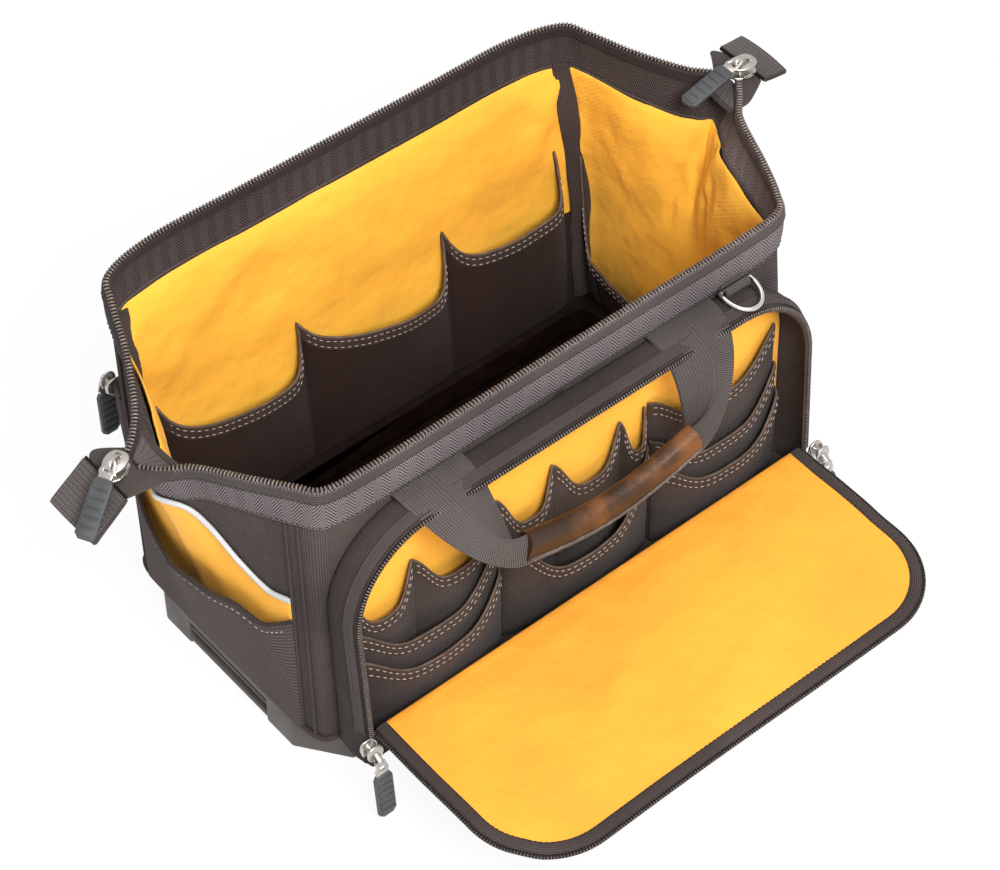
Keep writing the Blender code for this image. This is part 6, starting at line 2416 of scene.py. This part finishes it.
@dataclass
class MouldedBase:
    """The moulded tray with its welt, the floor board and its rivets."""

    shop: Workshop
    shape: BodyShape
    edge: float = 0.0016
    board_edge: float = 0.0005
    columns: int = 192
    welt_shift: float = 0.0012
    tub_half_length: float = 0.1985
    tub_half_depth: float = 0.0955
    skirt: tuple[Pair, ...] = ((0.55, 0.0366), (1.0, 0.0360), (1.02, 0.0300), (1.03, 0.0200))
    bar_half: float = 0.0446
    bar_height: float = 0.0168
    bar_inset: float = 0.0038
    rivet_size: tuple[float, float, float] = (0.0080, 0.0080, 0.0036)
    rivets: tuple[Pair, ...] = ((-0.125, 0.051), (-0.125, -0.051), (0.0, 0.051), (0.0, -0.051),
                                (0.125, 0.051), (0.125, -0.051))

    def build(self) -> None:
        """Build the tray, its welt and grip bars, the board and its rivets."""
        tray = self._moulded("moulded_tray", "base_tray", self.edge, 3, math.radians(40.0))
        self.shop.add(tray, Finish.MOULDED, "base_tray")
        board = self._moulded("ribbed_board", "floor_board", self.board_edge, 2, SHARP_ANGLE)
        self.shop.add(board, Finish.BOARD, "floor_board")
        self._skirt()
        self._trim()

    @staticmethod
    def _moulded(name: str, node: str, edge: float, segments: int, sharp: float) -> bpy.types.Object:
        """Copy a CAD node and round its edges.

        Args:
            name: the object's name.
            node: the CAD node to copy.
            edge: the rounding's width.
            segments: faces across the rounding.
            sharp: the angle above which an edge is shaded sharp.

        Returns:
            The new object.
        """
        item = MeshKit.from_node(name, node)
        bevel = item.modifiers.new("edges", "BEVEL")
        bevel.width = edge
        bevel.segments = segments
        bevel.limit_method = "ANGLE"
        bevel.angle_limit = math.radians(30.0)
        plain_mesh(item)
        MeshKit.soften(item.data, sharp)
        return item

    def _skirt(self) -> None:
        """Line the tray's rim and sides with dark cloth, from the walls' foot down to the board."""
        shape = self.shape
        places = spaced(0.0, shape.count, self.columns + 1)[:-1]
        foot = [shape.point(place, 0.014, -shape.wall - shape.lining - 0.0016) for place in places]
        end = max(point.x for point in foot)
        front = max(-point.y for point in foot)
        rows = [foot]
        for share, height in self.skirt + ((self.skirt[-1][0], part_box("floor_board")[1].z + 0.0004),):
            wide = mix(1.0, self.tub_half_length / end, share)
            deep = mix(1.0, self.tub_half_depth / front, share)
            rows.append([Vector((point.x * wide, point.y * deep, height)) for point in foot])
        self.shop.cloth("inner_floor_skirt", rows, 0.0010, Finish.BOARD, closed=True)

    def _trim(self) -> None:
        """Sew the welt round the tray's top, set the grip bars and the rivets."""
        shape = self.shape
        places = spaced(0.0, shape.count, self.columns + 1)[:-1]
        path = [shape.bare(place, 0.0) + shape.outward(place, 0.0) * self.welt_shift for place in places]
        self.shop.rod("tray_welt", path, MeshKit.ring(0.0042, 0.0040, 10), Finish.TAPE, closed=True)
        low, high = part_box("base_tray")
        bars = []
        for x in (low.x + self.bar_inset, high.x - self.bar_inset):
            path = [Vector((x, y, self.bar_height)) for y in spaced(-self.bar_half, self.bar_half, 12)]
            bars.append(MeshKit.rod("bar", path, MeshKit.ring(0.0050, 0.0042, 10, 0.7)))
        self.shop.add(MeshKit.join("grip_slot_bars", bars), Finish.MOULDED)
        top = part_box("floor_board")[1].z - 0.0013
        spots = [(Vector((x, y, top)), Matrix.Identity(3)) for x, y in self.rivets]
        self.shop.repeat("board_rivets", spots, self.rivet_size, Finish.METAL, segments=14, rings=8)


def joint_at(name: str) -> tuple[Vector, Vector]:
    """Return a joint's place and axis."""
    joint = next(joint for joint in frame["joints"] if joint["name"] == name)
    return Vector(joint["pos_m"]), Vector(joint["axis"])


@dataclass
class ZipHardware:
    """The metal sliders and ridged rubber pulls."""

    shop: Workshop
    length: float = 0.015
    width: float = 0.013
    height: float = 0.010
    plate: float = 0.0020
    pivot_shift: float = 0.0043
    bridge_rise: float = 0.0062
    pull_width: float = 0.0145
    pull_thickness: float = 0.0045
    link: float = 0.0125
    pull_length: float = 0.040
    core: float = 0.84
    pads: int = 6
    pad_gap: float = 0.0012

    def slider(self, name: str, node: str, body: str, centre: Vector, forward: Vector, upward: Vector,
               nose: int = 1, large: bool = False) -> None:
        """Build one slider: two rounded plates, a wedge between them and a bridge for the pull.

        Args:
            name: the piece's name.
            node: the CAD node it stands for.
            body: the body it moves with.
            centre: its middle.
            forward: the direction it lies along.
            upward: the direction its bridge stands in.
            nose: 1 if its nose is ahead, -1 if it is behind.
            large: whether its plates are the mouth's broad drop-shaped ones.
        """
        place = Matrix.Translation(centre) @ turned(forward, upward).to_4x4()
        half = self.length / 2 + (0.0032 if large else 0.0)
        wide = self.width / 2 + (0.0016 if large else 0.0)
        plate = self.plate
        top = self.height / 2
        outline = []
        for step in range(32):
            angle = 2 * math.pi * step / 32
            narrow = 1.0 - 0.42 * max(0.0, nose * math.cos(angle)) ** 1.5
            outline.append((half * powered(math.cos(angle), 0.85),
                            wide * (powered(math.sin(angle), 0.75) * narrow)))
        parts = [MeshKit.plate(outline, low, low + plate, place, 0.0007) for low in (top - plate, -top)]
        corner = Vector((half * 0.4, self.width * 0.16, top - plate * 0.7))
        parts.append(MeshKit.block("wedge", -corner, corner, 0.0006, place))
        for side in (-1, 1):
            near, far = sorted((wide * 0.94 * side, wide * 0.94 * side - side * 0.0014))
            parts.append(MeshKit.block("rim", Vector((-half * 0.5, near, -top + plate * 0.5)),
                                       Vector((half * 0.5, far, -top + plate + 0.0016)), 0.0004, place))
        parts.append(self._bridge(place, nose, large))
        self.shop.add(MeshKit.join(name, parts), Finish.METAL, node, body=body)

    def _bridge(self, place: Matrix, nose: int, large: bool) -> bpy.types.Object:
        """Make a slider's bridge, which the pull's link runs through.

        Args:
            place: the slider's place and turn.
            nose: the end that the nose is at, 1 or -1.
            large: whether it is the large kind.

        Returns:
            The bridge.
        """
        shift = self.pivot_shift * nose
        back = shift - (0.0105 if large else 0.0052) * nose
        arch = []
        for share in spaced(0.0, 1.0, 19):
            x = mix(shift + 0.0046 * nose, back, ease(share) if large else share)
            rise = self.bridge_rise * math.sin(math.pi * share ** (0.62 if large else 1.0)) ** 0.7
            arch.append(place @ Vector((x, 0, self.height / 2 - 0.0006 + rise)))
        return MeshKit.rod("bridge", arch, MeshKit.ring(0.0018, 0.0044, 10, 0.7),
                           place.to_3x3() @ Vector((0, 1, 0)))

    def pull(self, name: str, node: str, joint: str, body: str, outward: Vector) -> None:
        """Build one pull on the joint it swings about, with its metal link and ridged rubber grip.

        Args:
            name: the piece's name.
            node: the CAD node it stands for.
            joint: the joint it swings about.
            body: the body it moves with.
            outward: the side that it shows.
        """
        pivot, axis = joint_at(joint)
        axis.normalize()
        low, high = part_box(node)
        aim = (low + high) / 2 - pivot
        aim = (aim - axis * aim.dot(axis)).normalized()
        square = aim.cross(axis).normalized()
        if square.dot(outward) < 0:
            square = -square
        place = Matrix.Translation(pivot) @ turned(aim, square).to_4x4()
        self._link(name, place, body)
        half = self.pull_width / 2
        thick = self.pull_thickness / 2
        start = self.link
        end = self.link + self.pull_length
        side = [(start - 0.0012, half * 0.72), (start + 0.0024, half), (end - 0.0032, half),
                (end, half * 0.55)]
        outline = [(x, -y) for x, y in side] + side[::-1]
        parts = [MeshKit.plate(outline, -thick * self.core, thick * self.core, place, 0.0008)]
        first = start + 0.0014
        pitch = (end - self.pad_gap - first) / self.pads
        for face in (-1, 1):
            near, far = sorted((face * thick * self.core * 0.9, face * thick * 1.20))
            for step in range(self.pads):
                x = first + step * pitch
                taper = 0.80 if step == self.pads - 1 else 1.0
                parts.append(MeshKit.block("pad", Vector((x, -half * 0.80, near)),
                                           Vector((x + pitch - self.pad_gap, half * 0.80, far)), 0.0006,
                                           place, taper))
        self.shop.add(MeshKit.join(name, parts), Finish.RUBBER, node, body=body)

    def _link(self, name: str, place: Matrix, body: str) -> None:
        """Build the flat metal link: a plate with a slot for the bridge.

        Args:
            name: the pull's name.
            place: the pull's place and turn.
            body: the body that carries it.
        """
        upward = place.to_3x3() @ Vector((0, 0, 1))
        side = [(0.0, -0.0022), (0.0046, -0.0034), (0.0080, -0.0040)]
        loop = [Vector((x, y, 0)) for x, y in side + [(x, -y) for x, y in reversed(side)]]
        loop = [place @ point for point in smooth_path(loop, 36, closed=True)]
        parts = [MeshKit.rod("eye", loop, MeshKit.ring(0.0030, 0.0015, 8, 0.7), upward, closed=True),
                 MeshKit.block("plate", Vector((0.0072, -0.0050, -0.0008)), Vector((0.0142, 0.0050, 0.0008)),
                               0.0005, place)]
        self.shop.add(MeshKit.join(name + "_link", parts), Finish.METAL, body=body)


@dataclass
class Tail:
    """One end of the mouth: a smooth hood under the zip, a folded webbing tab, a slider and a pull."""

    shop: Workshop
    shape: BodyShape
    tools: ZipHardware
    side: str
    tab_length: float
    tab_drop: float
    tab_shift: float
    pull_skew: float
    reach: float = 0.0155
    tab_width: float = 0.046
    tab: float = 0.0045
    hood: float = 0.0022
    hood_start: float = 1.45
    hood_end: float = 0.75
    hood_columns: int = 97
    hood_drop: float = 0.0010
    panel: float = 0.0018
    panel_level: float = 1.86
    panel_ends: tuple[Pair, Pair] = ((-0.10, -1.55), (0.10, 1.30))
    panel_sag: float = 0.0030
    gore: float = 0.0030
    gore_top: float = 1.78
    slider_gap: float = 0.0029
    fold_round: float = 0.002

    @property
    def sign(self) -> int:
        """Return 1 at the right end and -1 at the left end."""
        return 1 if self.side == "right" else -1

    def place(self, step: float) -> float:
        """Return the place a step from the tip, towards the rear if positive."""
        tail = self.shape.tail
        return tail + step if self.side == "right" else self.shape.count - tail - step

    def build(self) -> None:
        """Build the hood, the panel inside it, the tab and the zip's metalwork."""
        shape = self.shape
        sign = self.sign
        tip = shape.bare(self.place(0.0), 2.0)
        hood_top = tip.z - self.tools.height / 2 - 0.0004
        fold = Vector((tip.x + sign * self.reach, tip.y + self.tab_shift, hood_top))
        self._hood(fold)
        self._inner_panel()
        self._gore()
        self._tab(fold)
        chain_end = shape.bare(self.place(-shape.chain_stop), 2.0)
        along, aside = math.cos(self.pull_skew), math.sin(self.pull_skew)
        reach = self.tools.length / 2 * along + self.tools.width / 2 * aside
        centre = Vector((chain_end.x + sign * (self.slider_gap + reach), tip.y, tip.z))
        forward = Vector((sign * along, -aside, 0))
        name = self.side + "_mouth"
        self.tools.slider(name + "_zip_slider", name + "_slider", "bag", centre, forward, UP, -sign,
                          large=True)
        self.tools.pull(name + "_zip_pull", name + "_pull", name + "_pull_swing", name + "_pull", UP)

    def _hood(self, fold: Vector) -> None:
        """Build the hood: a crescent of smooth cloth from under the chains out to the tab's fold.

        Args:
            fold: the middle of the tab's fold.
        """
        sign = self.sign
        half = self.tab_width / 2 - 0.0012
        inner = [self.shape.band_at_height(self.place(step), fold.z + 0.0018, 0.0)
                 for step in spaced(-self.hood_start, self.hood_end, 41)]
        front, rear = inner[0], inner[-1]
        front_corner, rear_corner = (fold + Vector((-sign * 0.0010, across, -self.hood_drop))
                                     for across in (-half, half))
        out = Vector((0, -1, 0))
        outer = [front, front.lerp(front_corner, 0.30) + out * 0.0030,
                 front.lerp(front_corner, 0.72) + out * 0.0012]
        outer += [front_corner + Vector((-sign * 0.0016, 0, 0)), front_corner + Vector((0, 0.0016, 0))]
        outer += [fold + Vector((0, share * half, -self.hood_drop)) for share in (-0.5, 0.0, 0.5)]
        outer += [rear_corner + Vector((0, -0.0030, 0)), rear_corner + Vector((-sign * 0.0050, 0.0036, 0)),
                  rear_corner.lerp(rear, 0.45) - out * 0.0062, rear]
        outer = smooth_path(outer, self.hood_columns)
        inner = even_path(inner, self.hood_columns)
        grid = []
        for share in spaced(0.0, 1.0, 18):
            arc = math.sin(math.pi * share)
            row = []
            for step, (near, far) in enumerate(zip(inner, outer)):
                crease = 0.0009 * ripple(step * 0.09, share * 1.8, 51.0) * arc
                row.append(near.lerp(far, share)
                           + UP * (arc * 0.0008 - 0.0014 * share + crease - self.hood / 2))
            grid.append(row)
        self.shop.cloth(self.side + "_hood_cloth", grid, self.hood, Finish.HOOD, self.side + "_tail_hood")
        ends = half + 0.0008
        groove = [fold + Vector((sign * 0.0004, across, -0.0016)) for across in spaced(-ends, ends, 12)]
        self.shop.rod(self.side + "_tab_fold", groove, MeshKit.ring(0.0022, 0.0034, 8), Finish.COIL)

    def _inner_panel(self) -> None:
        """Build the ribbed panel between the two chains, inside the mouth, with its dark bound edge."""
        inside = -self.shape.band / 2 - 0.0010
        grid = []
        for share in spaced(0.0, 1.0, 26):
            front, rear = (self.shape.point(self.place(mix(*ends, share)), self.panel_level, inside)
                           for ends in self.panel_ends)
            grid.append([front.lerp(rear, across) - UP * (self.panel_sag * math.sin(math.pi * across) * share)
                         for across in spaced(0.0, 1.0, 26)])
        self.shop.cloth(self.side + "_mouth_panel", grid, self.panel, Finish.TAB, turn=True)
        self.shop.rod(self.side + "_mouth_panel_edge", grid[-1], MeshKit.ring(0.0052, 0.0032, 10),
                      Finish.TAPE)

    def _gore(self) -> None:
        """Join the two halves of the mouth band round the tip, below the slider."""
        reach = self.shape.chain_stop + 0.02
        places = [self.place(step) for step in spaced(-reach, reach, 24)]
        grid = [[self.shape.point(place, level, 0.0) for place in places]
                for level in spaced(1.0, self.gore_top, 10)]
        self.shop.cloth(self.side + "_tail_gore", grid, self.gore, Finish.HOOD)

    def _tab(self, fold: Vector) -> None:
        """Build the webbing tab: webbing folded double.

        Args:
            fold: the middle of the tab's fold.
        """
        outward = Vector((self.sign, 0, 0))
        direction = outward * math.cos(self.tab_drop) - UP * math.sin(self.tab_drop)
        square = outward * math.sin(self.tab_drop) + UP * math.cos(self.tab_drop)
        start = fold - UP * self.hood + direction * 0.0016 + square * (self.hood / 2 - 0.0010)
        length = self.tab_length - 0.0012
        straight = length - self.fold_round
        half = self.tab * 0.27
        profile = [(along, half) for along in spaced(0.0, straight, 18)]
        profile += [(straight + self.fold_round * math.cos(angle), half * math.sin(angle))
                    for angle in spaced(math.pi / 2, -math.pi / 2, 7)[1:-1]]
        profile += [(along, -half) for along in spaced(straight, 0.0, 18)]
        grid = []
        for along, above in profile:
            share = along / length
            bend = 0.0012 * ease(share) * math.sin(along * 60.0)
            row = []
            for across in spaced(-1.0, 1.0, 40):
                cup = 0.0020 * across ** 2 * share - 0.0010 * across * share
                row.append(start + direction * along + square * (above + bend - cup)
                           + Vector((0, across * self.tab_width / 2, 0)))
            grid.append(row)
        self.shop.cloth(self.side + "_folded_tab", grid, self.tab * 0.42, Finish.TAB, self.side + "_tail_tab")


@dataclass
class Handle:
    """One carrying handle: two webbing legs that fold into a leather-wrapped grip."""

    shop: Workshop
    position: str
    webbing: float = 0.0024
    strap_width: float = 0.056
    half_span: float = 0.110
    grip_half: float = 0.076
    grip_thickness: float = 0.0140
    grip_height: float = 0.0220
    edge_places: tuple[Pair, Pair] = ((0.40, 0.47), (0.50, 0.30))
    sag: float = 0.014
    reach: float = 0.056
    drop: float = 0.047

    @property
    def side(self) -> int:
        """Return -1 at the front of the bag and 1 at its rear."""
        return -1 if self.position == "front" else 1

    def build(self) -> None:
        """Build the legs and the grip on the joint's place."""
        root, _ = joint_at(self.position + "_handle_swing")
        self._leg("left", root, -1)
        self._leg("right", root, 1)
        self._grip(root)

    def _leg(self, name: str, root: Vector, sign: int) -> None:
        """Build one leg: flat at its sewn root, folded double at the grip's end.

        Args:
            name: which leg it is.
            root: the middle of the line that the handle swings about.
            sign: 1 for the right leg, -1 for the left one.
        """
        half = self.strap_width / 2
        end = root + Vector((sign * (self.grip_half - 0.002), self.side * self.reach, -self.drop))
        out = Vector((0, self.side, 0))
        along = Vector((sign, 0, 0))
        top = end + UP * (self.grip_height / 2 - 0.001)
        low = end - UP * (self.grip_height / 2 + 0.001)
        crest_root = root + Vector((sign * self.half_span, 0, 0))
        crest = (crest_root - out * 0.004, crest_root + out * 0.020 + UP * 0.005,
                 crest_root + out * 0.044 + UP * 0.001, top + along * 0.030 - out * 0.001 + UP * 0.001, top)
        far_root = crest_root + along * half
        far = (far_root - out * 0.004, far_root + out * 0.020 + UP * 0.004,
               far_root + out * 0.038 - UP * 0.006, low + along * 0.032 + out * 0.005 + UP * 0.004,
               low + out * self.grip_thickness * 0.36)
        near_root = crest_root - along * half
        near = (near_root - out * 0.004, near_root + out * 0.018 + UP * 0.003,
                near_root + out * 0.036 - UP * 0.010, low + along * 0.006 - out * 0.012 + UP * 0.004,
                low - out * self.grip_thickness * 0.36)
        rows = []
        for share in spaced(0.0, 1.0, 44):
            middle, first, last = bezier(crest, share), bezier(near, share), bezier(far, share)
            row = []
            for across in spaced(-1.0, 1.0, 33):
                flat = first.lerp(last, (across + 1) / 2)
                bent = middle.lerp(first if across < 0 else last, abs(across) ** mix(1.0, 1.35, share))
                row.append(flat.lerp(bent, ease(share * 1.6 + 0.15)))
            rows.append(row)
        self.shop.cloth(f"{self.position}_{name}_webbing", rows, self.webbing, Finish.WEBBING,
                        f"{self.position}_handle_{name}_strap", body=self.position + "_handle", turn=True)

    def _grip(self, root: Vector) -> None:
        """Build the sagging leather-like grip, with two pale cut edges low on its outer side.

        Args:
            root: the middle of the handle's roots.
        """
        body = self.position + "_handle"
        middle = root + Vector((0, self.side * self.reach, -self.drop))
        path = []
        for across in spaced(-self.grip_half, self.grip_half, 60):
            fall = self.sag * math.cos(math.pi / 2 * across / self.grip_half)
            path.append(middle + Vector((across, 0, -fall)))
        section = MeshKit.ring(self.grip_thickness, self.grip_height, 20, 0.62)
        self.shop.rod(self.position + "_leather_grip", path, section, Finish.LEATHER,
                      self.position + "_handle_grip", body=body)
        section = MeshKit.ring(0.0013, 0.0014, 8, 0.8)
        parts = []
        for out, drop in self.edge_places:
            shift = Vector((0, self.side * self.grip_thickness * out, -self.grip_height * drop))
            parts.append(MeshKit.rod("edge", [point + shift for point in path], section))
        self.shop.add(MeshKit.join(self.position + "_grip_edges", parts), Finish.EDGE, body=body)


@dataclass
class RingAndLoop:
    """A steel D-ring in its webbing loop."""

    shop: Workshop
    position: str
    drop: float
    width: float = 0.032
    depth: float = 0.024
    wire: float = 0.0018
    loop_width: float = 0.021
    loop: float = 0.0020
    loop_gap: float = 0.0008
    opening: float = math.radians(30.0)

    def build(self) -> None:
        """Build the ring and the loop on the joint's place."""
        name = self.position + "_ring"
        centre, _ = joint_at(name + "_swing")
        side = -1 if self.position == "front" else 1
        direction = Vector((0, side * math.cos(self.drop), -math.sin(self.drop)))
        half = self.width / 2 - self.wire
        reach = self.depth - self.wire
        points = [(x, 0.0) for x in spaced(-half, half, 8)]
        for step in range(1, 24):
            angle = math.pi * step / 24
            points.append((half * math.cos(angle), reach * math.sin(angle) ** 0.8))
        path = [centre + Vector((x, 0, 0)) + direction * y for x, y in points]
        self.shop.rod(self.position + "_d_ring", path, MeshKit.ring(2 * self.wire, 2 * self.wire, 12),
                      Finish.RING, name, body=name, upward=Vector((1, 0, 0)).cross(direction), closed=True)
        radius = self.wire + self.loop_gap + self.loop / 2
        grid = []
        for angle in spaced(self.opening, 2 * math.pi - self.opening, 34):
            turn = angle - self.drop
            spot = centre + Vector((0, side * math.sin(turn), math.cos(turn))) * radius
            grid.append([spot + Vector((across, 0, 0))
                         for across in spaced(-self.loop_width / 2, self.loop_width / 2, 12)])
        self.shop.cloth(self.position + "_webbing_loop", grid, self.loop, Finish.WEBBING, name + "_loop",
                        turn=True)


@dataclass
class RearPocket:
    """The zipped pocket on the rear wall."""

    shop: Workshop
    shape: BodyShape
    tools: ZipHardware
    low: float = 0.060
    high: float = 0.190
    rows: int = 34
    half_span: float = 3.3
    zip_depth: float = 0.018
    zip_inset: int = 5
    cloth: float = 0.0025
    lift: float = 0.0009
    slack: float = 0.0020

    def build(self) -> None:
        """Build the panel, its zip and the slider."""
        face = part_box("rear_pocket_panel")[1].y
        front = self._panel(face)
        back = Vector((0, 1, 0))
        line = [Vector((x, face + 0.0004, self.high - self.zip_depth / 2))
                for x in spaced(front[-1 - self.zip_inset].x, front[self.zip_inset].x, 60)]
        self.shop.rod("rear_zip_tape", line, MeshKit.ring(0.0130, 0.0010, 10), Finish.COIL, upward=back)
        self.shop.teeth("rear_zip_teeth", [point + back * 0.0006 for point in line], [back] * len(line),
                        REAR_COIL)
        low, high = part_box("rear_pocket_slider")
        centre = Vector(((low.x + high.x) / 2, low.y + self.tools.height / 2, (low.z + high.z) / 2))
        self.tools.slider("rear_zip_slider", "rear_pocket_slider", "rear_pocket_slider", centre, -UP, back)
        self.tools.pull("rear_zip_pull", "rear_pocket_pull", "rear_pocket_pull_swing", "rear_pocket_pull",
                        back)

    def _panel(self, face: float) -> list[Vector]:
        """Build the panel with its binding.

        Args:
            face: the y of its flat middle's outer side.

        Returns:
            The points along its top edge.
        """
        shape = self.shape
        heights = [(height, 1.0) for height in spaced(self.low, self.high, self.rows)]
        heights += [(self.high, stand) for stand in (0.7, 0.4, 0.1)]
        rows = []
        for height, stand in heights:
            row = []
            swell = clamp((height - self.low) / (self.high - self.zip_depth - self.low)) * stand
            for share in spaced(0.0, 1.0, 100):
                place = shape.rear_centre + mix(-self.half_span, self.half_span, share)
                point = shape.at_height(place, height, self.lift + self.cloth / 2)
                side = ease(min(share, 1.0 - share) / 0.05)
                slack = self.slack * side * (1 - swell) * ripple(point.x * 9.0, height * 12.0, 61.0)
                point.y = mix(point.y, face - self.cloth / 2, swell * side) + slack
                row.append(point)
            rows.append(row)
        self.shop.cloth("rear_panel_cloth", rows, self.cloth, Finish.WALL, "rear_pocket_panel")
        border = rows[0] + [row[-1] for row in rows[1:]]
        border += rows[-1][-2::-1] + [row[0] for row in rows[-2:0:-1]]
        self.shop.rod("rear_panel_binding", border, MeshKit.ring(0.0036, 0.0046, 8), Finish.TAPE,
                      upward=Vector((0, 1, 0)), closed=True)
        return rows[self.rows - 1]


@dataclass
class FlapSliders:
    """The slider and pull at each root of the arch's zip."""

    shop: Workshop
    room: Compartment
    tools: ZipHardware
    outward: float = 0.0040

    def build(self) -> None:
        """Build both."""
        room = self.room
        down = (room.plane(0, 0) - room.plane(0, 1)).normalized()
        ahead = 2 * (room.chain + room.chain_gap) + self.tools.height / 2
        for side, sign in (("left", -1), ("right", 1)):
            centre = room.plane(sign * (room.half_width + self.outward), -self.tools.length / 4, -ahead)
            name = side + "_flap"
            self.tools.slider(name + "_zip_slider", name + "_slider", name + "_slider", centre, down,
                              room.facing())
            self.tools.pull(name + "_zip_pull", name + "_pull", name + "_pull_swing", name + "_pull",
                            room.facing())


def main() -> None:
    """Build the whole dressed bag and its studio."""
    logging.basicConfig(level=logging.INFO, format="%(name)s %(message)s")
    studio = Studio()
    studio.clear()
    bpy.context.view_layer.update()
    shop = Workshop()
    shape = BodyShape()
    room = Compartment(shop, shape)
    studio.build()
    Walls(shop, shape).build()
    Mouth(shop, shape).build()
    room.build()
    Flap(shop, room).build()
    SidePocket(shop, shape, "left").build()
    SidePocket(shop, shape, "right").build()
    InnerPockets(shop, shape).build()
    MouldedBase(shop, shape).build()
    tools = ZipHardware(shop)
    Tail(shop, shape, tools, "left", 0.036, math.radians(36.0), 0.002, math.radians(27.0)).build()
    Tail(shop, shape, tools, "right", 0.022, math.radians(4.0), 0.009, 0.0).build()
    FlapSliders(shop, room, tools).build()
    Handle(shop, "front").build()
    Handle(shop, "rear").build()
    RingAndLoop(shop, "front", math.radians(12.0)).build()
    RingAndLoop(shop, "rear", math.radians(80.0)).build()
    RearPocket(shop, shape, tools).build()
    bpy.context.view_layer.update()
    logger.info("%d pieces made", shop.count)


if __name__ == "__main__":
    main()
